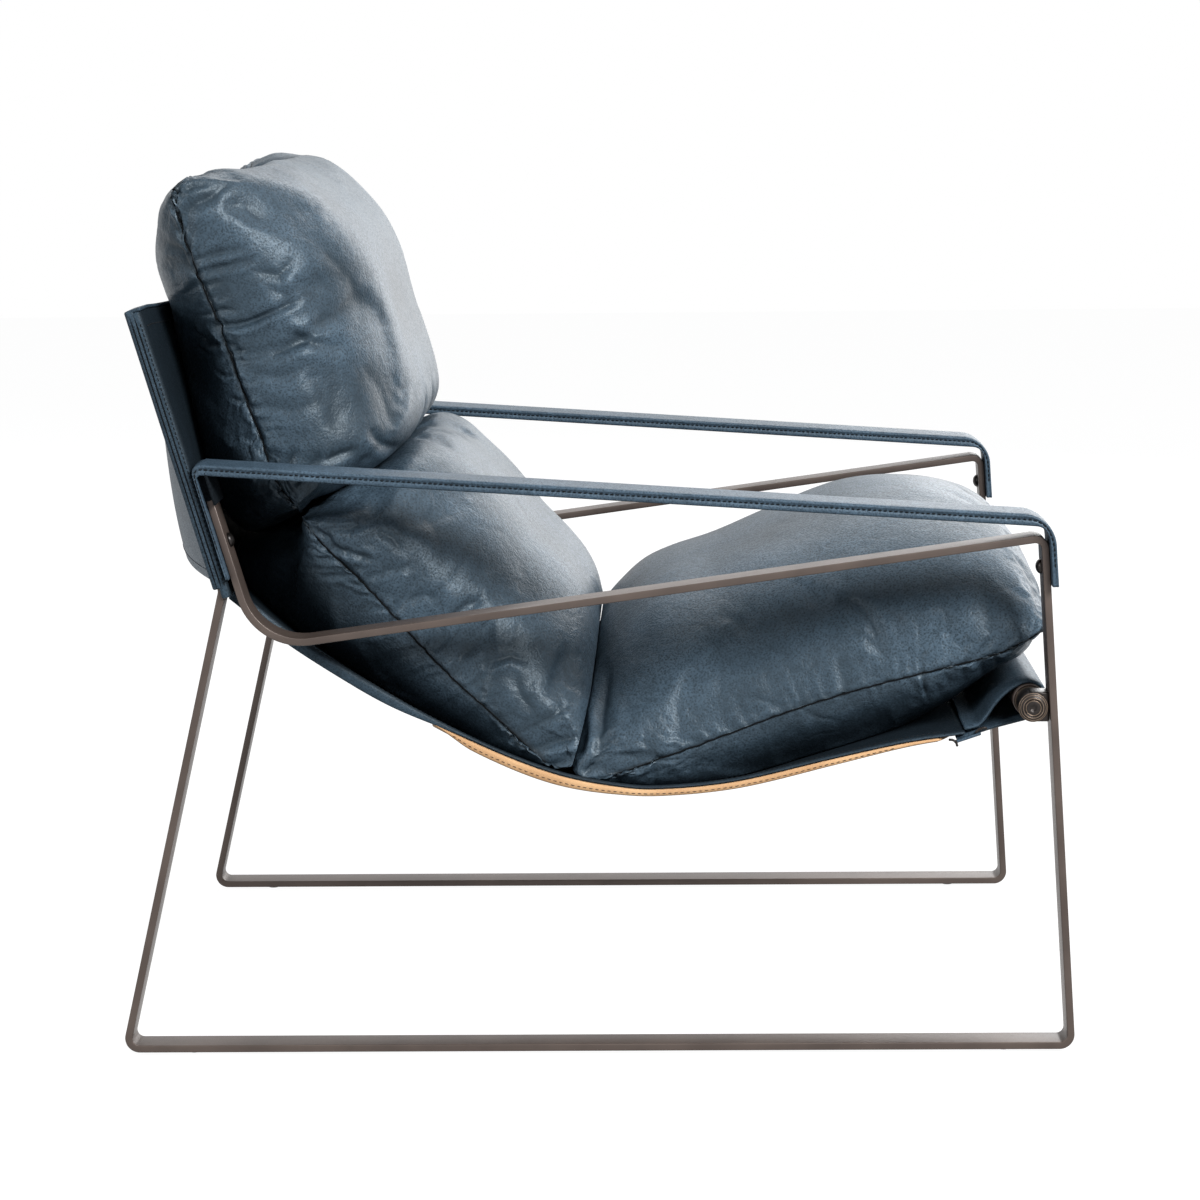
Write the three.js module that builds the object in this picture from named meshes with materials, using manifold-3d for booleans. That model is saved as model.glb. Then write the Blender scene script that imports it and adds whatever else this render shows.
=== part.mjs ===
// A leather sling lounge chair. Two side frames, each bent from one flat steel bar, are held apart by a
// round front tube and two bars behind the back. A leather sling hangs between them and carries a
// cushion pad of three stuffed chambers, and a padded leather strap makes each arm.
// Millimetres, +Z up, the sitter looks towards -Y and +X is the sitter's left. The chair is centred on
// X and Y, and its four glides stand on Z = 0.
import * as THREE from "three";
import { mergeVertices } from "three/addons/utils/BufferGeometryUtils.js";
import Module from "manifold-3d";

const wasm = await Module();
wasm.setup();

// Whole chair
const frameWidth = 660;
const railLength = 840;
const chairHeight = 782;
const gap = 0.3;
const cutPast = 2;

// Flat bar of the side frames
const barWidth = 32;
const barThick = 6.5;
const barEdge = 0.7;
const railLift = 3;
const footRadius = 9.75;
const frontLegSetback = 27.5;
const armCornerHeight = 456.4;
const armCornerRadius = 9;
const rearLegRun = 95.5;
const kneeHeight = 415.5;
const kneeRadius = 14;
const uprightTopHeight = 648;
const uprightRun = 68;
const armBendHeight = 364;
const armBendRadius = 54;
const armTipHeight = 512;

// Bars behind the back
const crossbarTall = 22;
const crossbarThick = 5;
const topBarHeight = 634;
const lowerBarHeight = 437;

// Front tube and its fixings
const tubeDiameter = 28;
const tubeWall = 1.6;
const tubeHeight = 308;
const tubeStandoff = 14.5;
const tubeEndInset = 7;
const bossDiameter = 24;
const bossIntoTube = 12;
const earTall = 28;
const earWidth = 22;
const capDiameter = 25;
const capThick = 5;
const capStep = 1.6;
const capProud = 1;
const capPocketDiameter = 14.5;
const capPocketDeep = 3.2;
const plugLength = 14;
const boltDiameter = 8;
const boltHeadDiameter = 13;
const boltHeadTall = 2.7;
const hexAcross = 5;
const hexDeep = 1.8;

// Leather
const slingLeather = 3.2;
const liningLeather = 2.4;
const slingSideGap = 8;
const slingSag = 40;
const backSag = 26;
const sleeveHem = 4;
const hemStep = 1;
const sleeveBottomHeight = 413;
const seatLowest = 232;
const panelBow = 62;
const panelHemHeight = 418;
const pocketSeamFromTube = 57;
const pocketSeamDrop = 27;
const pocketSeamRadius = 3.4;
const pocketHoleNose = 0.8;
const pocketHoleBack = 11;
const pocketInset = 4;
const liningClearance = 0.6;

// Arm straps
const strapWidth = 50;
const strapThick = 10;
const strapDropThick = 5.6;
const strapTailThick = 3;
const strapFlapThick = 2.5;
const strapRearHeight = 527;
const strapFrontHeight = 477;
const strapTipHeight = 415;
const strapTailHeight = 426;
const strapFlapHeight = 491;
const strapRearRadius = 7;
const strapFrontRadius = 30;
const strapInnerRadius = 13;
const strapEdge = 1;
const strapScrewHeight = 430;
const armBoltHeight = 453;

// Small fasteners and glides
const screwDiameter = 5;
const screwHeadDiameter = 13;
const screwHeadTall = 4.6;
const screwSlotWide = 1.6;
const screwSlotDeep = 1.4;
const insertDiameter = 8;
const insertDeep = 3.8;
const glideDiameter = 13;
const glideEdge = 0.8;
const glideStemDiameter = 5;
const glideInset = 62;
const holeClearance = 0.4;

// Cushion pad
const padSideGap = 10;
const padClearance = 0.7;
const sideDraw = 6;

// Facets
const arcStep = Math.PI / 15;
const roundFacets = 20;
const tubeFacets = 32;
const sheetColumns = 12;
const panelRows = 8;
const domeSteps = 3;
const sleeveRows = 6;
const seatRows = 22;
const liningFirstRow = 6;
const liningLastRow = 21;
const padColumns = 18;
const padRows = 18;
const pathSamples = 60;

// Colours: bronze paint, blue leather, tan suede, dark fittings
const finishes = {
  frame: { color: 0x4b403b, roughness: 0.45, metalness: 0.6 },
  fitting: { color: 0x24201f, roughness: 0.4, metalness: 0.7 },
  glide: { color: 0x1b1b1c, roughness: 0.6, metalness: 0 },
  leather: { color: 0x2f3d4a, roughness: 0.5, metalness: 0 },
  pad: { color: 0x35444f, roughness: 0.45, metalness: 0 },
  suede: { color: 0xb5824f, roughness: 0.8, metalness: 0 },
};

// Places that several pieces share, in the side view as (y, z)
const at = (y, z) => new THREE.Vector2(y, z);
const outerX = frameWidth / 2;
const innerX = outerX - barWidth;
const slingHalf = innerX - slingSideGap;
const padHalf = slingHalf - padSideGap;
const barX = outerX - barWidth / 2;
const railZ = railLift + barThick / 2;
const footY = (railLength - barThick) / 2;
const frontFoot = at(-footY, railZ);
const rearFoot = at(footY, railZ);
const armCorner = at(frontLegSetback - footY, armCornerHeight);
const knee = at(footY - rearLegRun, kneeHeight);
const uprightTop = at(knee.x + uprightRun, uprightTopHeight);
const uprightDirection = uprightTop.clone().sub(knee).normalize();
const uprightForward = at(-uprightDirection.y, uprightDirection.x);
const sleeveOffset = barThick / 2 + gap + slingLeather / 2;
const tailOffset = sleeveOffset + slingLeather / 2 + gap + strapTailThick / 2;
const armRunOffset = tailOffset + strapTailThick / 2 + gap + barThick / 2;
const flapOffset = armRunOffset + barThick / 2 + gap + strapFlapThick / 2;
const frontLegDirection = armCorner.clone().sub(frontFoot).normalize();
const frontLegForward = at(-frontLegDirection.y, frontLegDirection.x);

// The point at height z on a line parallel to the upright, offset forwards from its middle
function besideUpright(offset, z) {
  const start = knee.clone().addScaledVector(uprightForward, offset);
  return start.addScaledVector(uprightDirection, (z - start.y) / uprightDirection.y);
}

// The point at height z on a line parallel to the front leg, offset forwards from its middle
function besideFrontLeg(offset, z) {
  const start = frontFoot.clone().addScaledVector(frontLegForward, offset);
  return start.addScaledVector(frontLegDirection, (z - start.y) / frontLegDirection.y);
}

// Places on the axes of the two screws at each side, a distance forwards of the upright or the leg
const onArmBolt = (offset) =>
  besideUpright(0, armBoltHeight).addScaledVector(uprightForward, offset);
const onStrapScrew = (offset) =>
  besideFrontLeg(0, strapScrewHeight).addScaledVector(frontLegForward, offset);

const legRearFace = besideFrontLeg(-barThick / 2, tubeHeight);
const tubeAxis = at(legRearFace.x + tubeStandoff, tubeHeight);
const tubeEndX = innerX - tubeEndInset;
const pocketSeam = at(tubeAxis.x + pocketSeamFromTube, tubeAxis.y - pocketSeamDrop);

// Side-view paths and outlines

// A polyline whose corners are rounded by arcs; a corner is [point, radius]
function roundedPath(corners) {
  const path = [];
  corners.forEach(([corner, radius], i) => {
    if (!radius) {
      path.push(corner.clone());
      return;
    }
    const back = corners[i - 1][0].clone().sub(corner).normalize();
    const ahead = corners[i + 1][0].clone().sub(corner).normalize();
    const half = Math.acos(THREE.MathUtils.clamp(back.dot(ahead), -1, 1)) / 2;
    const centre = back.clone().add(ahead).normalize();
    centre.multiplyScalar(radius / Math.sin(half)).add(corner);
    const from = corner.clone().addScaledVector(back, radius / Math.tan(half)).sub(centre);
    const to = corner.clone().addScaledVector(ahead, radius / Math.tan(half)).sub(centre);
    const turn = Math.atan2(from.cross(to), from.dot(to));
    const steps = Math.max(2, Math.ceil(Math.abs(turn) / arcStep));
    for (let k = 0; k <= steps; k++) {
      path.push(from.clone().rotateAround(at(0, 0), (turn * k) / steps).add(centre));
    }
  });
  return path;
}

// The same path moved to its left by a distance, with mitred joints
function offsetPath(path, distance) {
  return path.map((point, i) => {
    const before = point.clone().sub(path[Math.max(i - 1, 0)]);
    const after = path[Math.min(i + 1, path.length - 1)].clone().sub(point);
    const first = (before.lengthSq() ? before : after).clone().normalize();
    const second = (after.lengthSq() ? after : before).clone().normalize();
    const normal = at(-first.y - second.y, first.x + second.x).normalize();
    const reach = distance / normal.dot(at(-first.y, first.x));
    return point.clone().addScaledVector(normal, reach);
  });
}

// A band of even thickness along a path
function bandShape(path, thickness) {
  const left = offsetPath(path, thickness / 2);
  const right = offsetPath(path, -thickness / 2);
  return new THREE.Shape([...left, ...right.reverse()]);
}

// A side-view shape extruded along x between two planes, with an optional chamfer round its faces
function alongX(shape, x0, x1, edge = 0) {
  const geometry = new THREE.ExtrudeGeometry(shape, {
    depth: x1 - x0 - 2 * edge,
    bevelEnabled: edge > 0,
    bevelThickness: edge,
    bevelSize: edge,
    bevelOffset: -edge,
    bevelSegments: 1,
    steps: 1,
  });
  const turn = new THREE.Matrix4().makeBasis(
    new THREE.Vector3(0, 1, 0),
    new THREE.Vector3(0, 0, 1),
    new THREE.Vector3(1, 0, 0),
  );
  return geometry.applyMatrix4(turn).translate(x0 + edge, 0, 0);
}

// Solids, booleans and revolved pieces

function solidOf(geometry) {
  const bare = new THREE.BufferGeometry();
  bare.setAttribute("position", geometry.getAttribute("position").clone());
  if (geometry.index) bare.setIndex(geometry.index.clone());
  const merged = mergeVertices(bare, 1e-4);
  return new wasm.Manifold(
    new wasm.Mesh({
      numProp: 3,
      vertProperties: new Float32Array(merged.attributes.position.array),
      triVerts: new Uint32Array(merged.index.array),
    }),
  );
}

function geometryOf(solid) {
  const mesh = solid.getMesh();
  const geometry = new THREE.BufferGeometry();
  geometry.setAttribute("position", new THREE.BufferAttribute(mesh.vertProperties, 3));
  geometry.setIndex(new THREE.BufferAttribute(mesh.triVerts, 1));
  return geometry;
}

function cut(geometry, ...tools) {
  return geometryOf(tools.reduce((left, tool) => left.subtract(solidOf(tool)), solidOf(geometry)));
}

function join(geometry, ...others) {
  return geometryOf(others.reduce((sum, other) => sum.add(solidOf(other)), solidOf(geometry)));
}

// A piece turned about +Y of its own, moved so that its axis starts at a point and runs along a direction
function standAt(geometry, start, direction) {
  const turn = new THREE.Quaternion().setFromUnitVectors(
    new THREE.Vector3(0, 1, 0),
    direction.clone().normalize(),
  );
  return geometry.applyQuaternion(turn).translate(start.x, start.y, start.z);
}

// A revolved piece from [radius, height] pairs that start and end on the axis
function revolved(profile, facets, start, direction) {
  const points = profile.map(([radius, height]) => at(radius, height));
  return standAt(new THREE.LatheGeometry(points, facets), start, direction);
}

function rod(radius, length, start, direction, facets = roundFacets) {
  return revolved([[0, 0], [radius, 0], [radius, length], [0, length]], facets, start, direction);
}

const alongXAxis = new THREE.Vector3(1, 0, 0);
const upwards = new THREE.Vector3(0, 0, 1);
const inSideView = (x, point) => new THREE.Vector3(x, point.x, point.y);
const sideDirection = (direction) => new THREE.Vector3(0, direction.x, direction.y);

// The chair's meshes. A side piece is made on the sitter's left, and its twin is mirrored.
const chair = new THREE.Group();
const rightSide = new THREE.Group();
rightSide.scale.x = -1;
chair.add(rightSide);

function addPiece(name, geometry, finish, parent = chair) {
  const mesh = new THREE.Mesh(geometry, new THREE.MeshStandardMaterial(finishes[finish]));
  mesh.name = name;
  parent.add(mesh);
}

function addPair(name, geometry, finish) {
  addPiece(name + "_left", geometry, finish);
  addPiece(name + "_right", geometry.clone(), finish, rightSide);
}

// Side frame: one bar from the tip behind the arm, along the arm, down the front leg, along the floor,
// up the rear leg and up behind the back

function makeSideFrame() {
  const path = roundedPath([
    [besideUpright(armRunOffset, armTipHeight), 0],
    [besideUpright(armRunOffset, armBendHeight), armBendRadius],
    [armCorner, armCornerRadius],
    [frontFoot, footRadius],
    [rearFoot, footRadius],
    [knee, kneeRadius],
    [uprightTop, 0],
  ]);
  const bar = alongX(bandShape(path, barThick), innerX, outerX, barEdge);
  const holeRadius = screwDiameter / 2 + holeClearance;
  const stemRadius = glideStemDiameter / 2 + holeClearance;
  const glideHoles = [-1, 1].map((end) =>
    rod(stemRadius, barThick + 2 * cutPast, glidePlace(end, railLift - cutPast), upwards),
  );
  const legHole = rod(
    holeRadius,
    barThick + 2 * cutPast,
    inSideView(barX, onStrapScrew(-barThick / 2 - cutPast)),
    sideDirection(frontLegForward),
  );
  return cut(bar, ...glideHoles, legHole, armBoltTool(screwDiameter + 2 * holeClearance));
}

function glidePlace(end, z) {
  return new THREE.Vector3(barX, end * (railLength / 2 - glideInset), z);
}

// The straight hole that the arm bolt needs through bar, strap tail, sleeve and upright
function armBoltTool(diameter) {
  const rear = inSideView(barX, onArmBolt(-barThick / 2 - cutPast));
  const length = armRunOffset + barThick + 2 * cutPast;
  return rod(diameter / 2, length, rear, sideDirection(uprightForward));
}

// Bars behind the back: a straight one at the top, and a lower one bowed back to clear the cushion

function makeTopCrossbar() {
  const low = besideUpright(0, topBarHeight - crossbarTall / 2);
  const high = besideUpright(0, topBarHeight + crossbarTall / 2);
  return alongX(bandShape([low, high], crossbarThick), gap - innerX, innerX - gap);
}

// Share of the full bow at x, from 0 at the uprights to 1 in the middle
const bowShare = (x, half) => 1 - Math.min(1, Math.abs(x) / half) ** 2;

// How far the outer back panel stands behind the uprights in the middle, at height z
function panelBowAt(z) {
  const rise = (z - panelHemHeight) / (uprightTopHeight - panelHemHeight);
  return panelBow * (1 - Math.min(1, Math.max(0, rise)) ** 1.6);
}

function makeLowerCrossbar() {
  const bow = panelBowAt(lowerBarHeight + crossbarTall / 2) - gap;
  const half = innerX + cutPast;
  const bowed = thickSheet(1, sheetColumns, crossbarThick, (row, column) => {
    const x = half * (2 * column - 1);
    const z = lowerBarHeight + crossbarTall * (row - 0.5);
    return inSideView(x, besideUpright(-bow * bowShare(x, innerX), z));
  });
  const room = at(frameWidth, crossbarTall * 3);
  const ends = [-1, 1].map((side) => {
    const block = new THREE.BoxGeometry(barWidth, room.y, room.y);
    const centre = inSideView(side * (innerX - gap + barWidth / 2), besideUpright(0, lowerBarHeight));
    return block.translate(...centre);
  });
  return cut(bowed, ...ends);
}

// Sheets: a grid of points given a thickness, closed round its rims

function thickSheet(rows, columns, thickness, pointAt) {
  const grid = [];
  for (let i = 0; i <= rows; i++) {
    grid.push([]);
    for (let j = 0; j <= columns; j++) grid[i].push(pointAt(i / rows, j / columns));
  }
  const skins = [[], []];
  const normal = (i, j) => {
    const down = grid[Math.min(i + 1, rows)][j].clone().sub(grid[Math.max(i - 1, 0)][j]);
    const across = grid[i][Math.min(j + 1, columns)].clone().sub(grid[i][Math.max(j - 1, 0)]);
    return down.cross(across).normalize();
  };
  for (let i = 0; i <= rows; i++) {
    for (let j = 0; j <= columns; j++) {
      const n = normal(i, j);
      skins[0].push(grid[i][j].clone().addScaledVector(n, thickness / 2));
      skins[1].push(grid[i][j].clone().addScaledVector(n, -thickness / 2));
    }
  }
  const width = columns + 1;
  const count = skins[0].length;
  const faces = [];
  const quad = (a, b, c, d) => faces.push(a, b, c, a, c, d);
  for (let i = 0; i < rows; i++) {
    for (let j = 0; j < columns; j++) {
      const a = i * width + j;
      quad(a, a + 1, a + width + 1, a + width);
      quad(count + a, count + a + width, count + a + width + 1, count + a + 1);
    }
  }
  const rim = (a, b) => quad(a, count + a, count + b, b);
  for (let j = 0; j < columns; j++) {
    rim(j, j + 1);
    rim(rows * width + j + 1, rows * width + j);
  }
  for (let i = 0; i < rows; i++) {
    rim((i + 1) * width, i * width);
    rim(i * width + columns, (i + 1) * width + columns);
  }
  return closedGeometry([...skins[0], ...skins[1]], faces);
}

// A geometry from points and triangles, turned face outwards
function closedGeometry(points, faces) {
  let volume = 0;
  for (let k = 0; k < faces.length; k += 3) {
    const [a, b, c] = [points[faces[k]], points[faces[k + 1]], points[faces[k + 2]]];
    volume += a.dot(b.clone().cross(c));
  }
  const turned = volume < 0 ? [...faces].reverse() : faces;
  const geometry = new THREE.BufferGeometry().setFromPoints(points);
  geometry.setIndex(turned);
  return geometry;
}

// Sling: the front face of the back sleeve, the hammock of the seat and the pocket round the front tube

// Places on the seat's side edge: share of the run from knee to pocket seam, share of the fall
const seatEdgeShares = [
  [0, 1],
  [0.083, 0.76],
  [0.195, 0.5],
  [0.275, 0.335],
  [0.362, 0.182],
  [0.445, 0.07],
  [0.523, 0.013],
  [0.585, 0],
  [0.688, 0.037],
  [0.815, 0.143],
  [0.92, 0.225],
  [1, 0.265],
];
const sleeveTop = besideUpright(sleeveOffset, uprightTopHeight);
const sleeveBottom = besideUpright(sleeveOffset, sleeveBottomHeight);
const seatRear = besideUpright(sleeveOffset, sleeveBottomHeight - sleeveHem);
const seatEdge = new THREE.SplineCurve(
  seatEdgeShares.map(([run, fall]) =>
    at(
      THREE.MathUtils.lerp(seatRear.x, pocketSeam.x, run),
      THREE.MathUtils.lerp(seatLowest, seatRear.y, fall),
    ),
  ),
);

// How far the sling's middle hangs below its side edges, at a share of the seat's length
function seatSagAt(share) {
  const full = THREE.MathUtils.lerp(backSag, slingSag, THREE.MathUtils.smoothstep(share, 0, 0.45));
  return full * (1 - THREE.MathUtils.smoothstep(share, 0.62, 1));
}

// Middle of the seat's leather at a share of its length and at x, a depth below it
function seatPoint(share, x, depth = 0) {
  const tangent = seatEdge.getTangent(share);
  const inward = at(tangent.y, -tangent.x);
  const fall = depth + seatSagAt(share) * bowShare(x, slingHalf);
  return seatEdge.getPoint(share).addScaledVector(inward, -fall);
}

// Middle of the sleeve's front face at a share of its length from the top, and at x
function sleevePoint(share, x) {
  const sag = backSag * THREE.MathUtils.smoothstep(share, 0.12, 1) * bowShare(x, slingHalf);
  return sleeveTop.clone().lerp(sleeveBottom, share).addScaledVector(uprightForward, -sag);
}

// A row of the sling: two columns at each edge, then the face between them. Where the row has side
// lips, that go round the uprights, the edge columns are the lip's end and its corner.
function lippedRow(half, lip, pointAt) {
  const last = sheetColumns + 4;
  const faceHalf = Math.min(slingHalf, half - 2 * hemStep);
  return (column) => {
    const step = Math.round(column * last);
    const inward = Math.min(step, last - step);
    const side = step < last / 2 ? -1 : 1;
    const edge = side * (half - (lip ? 0 : inward * hemStep));
    const face = faceHalf * ((2 * (step - 2)) / sheetColumns - 1);
    const x = inward < 2 ? edge : face;
    return inSideView(x, pointAt(x).addScaledVector(uprightForward, inward ? 0 : lip));
  };
}

// A sheet whose rows are functions of the share across
function sheetOfRows(rows, thickness) {
  return thickSheet(rows.length - 1, sheetColumns + 4, thickness, (row, column) =>
    rows[Math.round(row * (rows.length - 1))](column),
  );
}

// Outline of a belt round two circles in the side view
function beltPath(centreA, radiusA, centreB, radiusB) {
  const between = centreB.clone().sub(centreA);
  const middle = Math.atan2(between.y, between.x);
  const open = Math.acos((radiusA - radiusB) / between.length());
  const arc = (centre, radius, from, to) => {
    const steps = Math.max(3, Math.ceil((to - from) / arcStep));
    return Array.from({ length: steps + 1 }, (_, k) => {
      const angle = THREE.MathUtils.lerp(from, to, k / steps);
      return at(centre.x + radius * Math.cos(angle), centre.y + radius * Math.sin(angle));
    });
  };
  return [
    ...arc(centreA, radiusA, middle + open, middle + 2 * Math.PI - open),
    ...arc(centreB, radiusB, middle - open, middle + open),
  ];
}

function makeSling() {
  const sleeveHalf = outerX + gap + slingLeather / 2;
  const lip = gap / 2 - sleeveOffset;
  const rows = [];
  for (let i = 0; i <= sleeveRows; i++) {
    rows.push(lippedRow(sleeveHalf, lip, (x) => sleevePoint(i / sleeveRows, x)));
  }
  const hem = sleeveBottom.clone().lerp(seatRear, 0.5).sub(sleeveBottom);
  rows.push(lippedRow(sleeveHalf, 0, (x) => sleevePoint(1, x).add(hem)));
  for (let i = 0; i <= seatRows; i++) {
    rows.push(lippedRow(slingHalf, 0, (x) => seatPoint(i / seatRows, x)));
  }
  const sheet = sheetOfRows(rows, slingLeather);
  const tubeRadius = tubeDiameter / 2;
  const nose = pocketSeam.clone().sub(tubeAxis);
  nose.setLength(nose.length() - pocketHoleBack).add(tubeAxis);
  const pocket = new THREE.Shape(
    beltPath(tubeAxis, tubeRadius + gap + slingLeather, pocketSeam, pocketSeamRadius),
  );
  pocket.holes.push(new THREE.Path(beltPath(tubeAxis, tubeRadius + gap, nose, pocketHoleNose)));
  const half = slingHalf - pocketInset;
  return cut(join(sheet, alongX(pocket, -half, half)), ...boltHoles());
}

// The arm bolt's holes on both sides, for a leather piece as wide as the chair
function boltHoles() {
  const hole = armBoltTool(screwDiameter + 2 * holeClearance);
  return [hole, mirrored(hole)];
}

// A geometry's twin on the other side of the chair
function mirrored(geometry) {
  const twin = geometry.clone().scale(-1, 1, 1);
  const flat = twin.index ? twin.toNonIndexed() : twin;
  const points = flat.attributes.position;
  for (let k = 0; k < points.count; k += 3) {
    const first = new THREE.Vector3().fromBufferAttribute(points, k);
    const last = new THREE.Vector3().fromBufferAttribute(points, k + 2);
    points.setXYZ(k, ...last);
    points.setXYZ(k + 2, ...first);
  }
  return new THREE.BufferGeometry().setAttribute("position", points);
}

// Suede lining sewn under the seat
function makeLining() {
  const depth = slingLeather / 2 + liningClearance + liningLeather / 2;
  const rows = [];
  for (let i = liningFirstRow; i <= liningLastRow; i++) {
    rows.push(lippedRow(slingHalf, 0, (x) => seatPoint(i / seatRows, x, depth)));
  }
  return sheetOfRows(rows, liningLeather);
}

// Outer panel of the back: a flap over the top of the frame and a face that hangs down over the lower bar
function makeBackPanel() {
  const half = outerX + gap + slingLeather / 2;
  const lip = sleeveOffset - gap / 2;
  const overTop = gap + slingLeather / 2;
  const onFrame = (offset, along) =>
    uprightTop.clone().addScaledVector(uprightForward, offset).addScaledVector(uprightDirection, along);
  const front = sleeveOffset + slingLeather / 2;
  const rows = [
    lippedRow(half, 0, () => onFrame(front, overTop)),
    lippedRow(half, 0, () => onFrame(0, overTop)),
    lippedRow(half, 0, () => onFrame(-sleeveOffset, overTop)),
  ];
  for (let i = 0; i <= panelRows; i++) {
    const z = THREE.MathUtils.lerp(uprightTopHeight - gap, panelHemHeight, i / panelRows);
    rows.push(
      lippedRow(half, lip, (x) => besideUpright(-sleeveOffset - panelBowAt(z) * bowShare(x, innerX), z)),
    );
  }
  return sheetOfRows(rows, slingLeather);
}

// Arm strap: padded over the arm, thin where it turns down behind the arm bar and in front of the leg,
// with a flap in front of the bar's tip that closes a pocket round it
function makeArmStrap() {
  const tailRear = tailOffset - strapTailThick / 2;
  const tailFront = tailOffset + strapTailThick / 2;
  const dropInner = barThick / 2 + gap;
  const dropOuter = dropInner + strapDropThick;
  const outer = roundedPath([
    [besideUpright(tailRear, strapTailHeight), 0],
    [besideUpright(tailRear, strapRearHeight), strapRearRadius],
    [besideFrontLeg(dropOuter, strapFrontHeight), strapFrontRadius],
    [besideFrontLeg(dropOuter, strapTipHeight), 0],
  ]);
  const inner = roundedPath([
    [besideUpright(tailFront, strapTailHeight), 0],
    [besideUpright(tailFront, strapRearHeight - strapThick), 0],
    [besideFrontLeg(dropInner, strapFrontHeight - strapThick), strapInnerRadius],
    [besideFrontLeg(dropInner, strapTipHeight), 0],
  ]);
  const x0 = barX - strapWidth / 2;
  const x1 = barX + strapWidth / 2;
  const body = alongX(new THREE.Shape([...outer, ...inner.reverse()]), x0, x1, strapEdge);
  const flapPath = [
    besideUpright(flapOffset, strapRearHeight - strapThick / 2),
    besideUpright(flapOffset, strapFlapHeight),
  ];
  const flap = alongX(bandShape(flapPath, strapFlapThick), x0, x1, strapEdge);
  const hole = rod(
    insertDiameter / 2 + gap,
    insertDeep + gap + cutPast,
    inSideView(barX, onStrapScrew(dropInner - cutPast)),
    sideDirection(frontLegForward),
  );
  return cut(join(body, flap), hole, armBoltTool(screwDiameter + 2 * holeClearance));
}

// Slotted dome screws, with the head at the start of the axis

function domeScrew(shankLength, start, direction) {
  const radius = screwHeadDiameter / 2;
  const dome = Array.from({ length: domeSteps + 1 }, (_, k) => {
    const angle = (Math.PI / 2) * (k / domeSteps);
    return [radius * Math.sin(angle), screwHeadTall * (1 - Math.cos(angle))];
  });
  const end = screwHeadTall + shankLength;
  const profile = [...dome, [screwDiameter / 2, screwHeadTall], [screwDiameter / 2, end], [0, end]];
  const body = new THREE.LatheGeometry(profile.map(([r, h]) => at(r, h)), roundFacets);
  const slot = new THREE.BoxGeometry(screwHeadDiameter * 2, screwSlotDeep * 2, screwSlotWide);
  return standAt(cut(body, slot), start, direction);
}

function makeStrapScrew() {
  const through = gap + barThick + gap + insertDeep - gap;
  const start = onStrapScrew(-barThick / 2 - gap - screwHeadTall);
  return domeScrew(through, inSideView(barX, start), sideDirection(frontLegForward));
}

function makeStrapInsert() {
  const inner = screwDiameter / 2 + gap;
  const outer = insertDiameter / 2;
  const start = onStrapScrew(barThick / 2 + gap);
  const ring = [[inner, 0], [outer, 0], [outer, insertDeep], [inner, insertDeep], [inner, 0]];
  return revolved(ring, roundFacets, inSideView(barX, start), sideDirection(frontLegForward));
}

function makeArmBolt() {
  const headBase = armRunOffset + barThick / 2 + gap;
  const start = onArmBolt(headBase + screwHeadTall);
  const rearwards = sideDirection(uprightForward.clone().negate());
  return domeScrew(headBase + barThick / 2, inSideView(barX, start), rearwards);
}

// Front tube, and at each end a plug, a bracket welded to the leg, a stepped cap and a socket bolt

function makeFrontTube() {
  const outer = tubeDiameter / 2;
  const inner = outer - tubeWall;
  const length = 2 * tubeEndX;
  const wall = [[inner, 0], [outer, 0], [outer, length], [inner, length], [inner, 0]];
  return revolved(wall, tubeFacets, inSideView(-tubeEndX, tubeAxis), alongXAxis);
}

const capOuterX = outerX + capProud;
const capInnerX = capOuterX - capThick;
const bossInnerX = tubeEndX - bossIntoTube;
const boltHoleRadius = boltDiameter / 2 + holeClearance;

function makeTubePlug() {
  const outer = tubeDiameter / 2 - tubeWall - gap;
  const ring = [
    [boltHoleRadius, 0],
    [outer, 0],
    [outer, plugLength],
    [boltHoleRadius, plugLength],
    [boltHoleRadius, 0],
  ];
  const start = inSideView(bossInnerX - gap - plugLength, tubeAxis);
  return revolved(ring, roundFacets, start, alongXAxis);
}

function makeTubeBracket() {
  const radius = bossDiameter / 2;
  const legFace = -barThick / 2 - gap;
  const ear = new THREE.Shape([
    besideFrontLeg(legFace, tubeHeight + earTall / 2),
    besideFrontLeg(legFace, tubeHeight - earTall / 2),
    at(tubeAxis.x, tubeAxis.y - radius),
    at(tubeAxis.x, tubeAxis.y + radius),
  ]);
  const earPlate = alongX(ear, barX - earWidth / 2, barX + earWidth / 2);
  const length = capInnerX - gap - bossInnerX;
  const boss = rod(radius, length, inSideView(bossInnerX, tubeAxis), alongXAxis, tubeFacets);
  const hole = rod(
    boltHoleRadius,
    length + 2 * cutPast,
    inSideView(bossInnerX - cutPast, tubeAxis),
    alongXAxis,
  );
  return cut(join(boss, earPlate), hole);
}

function makeTubeCap() {
  const radius = capDiameter / 2;
  const pocket = capPocketDiameter / 2;
  const tread = (radius - capStep - pocket) / 2;
  const rise = (capThick - capStep) / 2;
  const floor = capThick - capPocketDeep;
  const profile = [
    [boltHoleRadius, 0],
    [radius, 0],
    [radius, rise],
    [radius - tread, rise],
    [radius - tread, 2 * rise],
    [pocket + capStep, 2 * rise],
    [pocket + capStep, capThick],
    [pocket, capThick],
    [pocket, floor],
    [boltHoleRadius, floor],
    [boltHoleRadius, 0],
  ];
  return revolved(profile, tubeFacets, inSideView(capInnerX, tubeAxis), alongXAxis);
}

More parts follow.
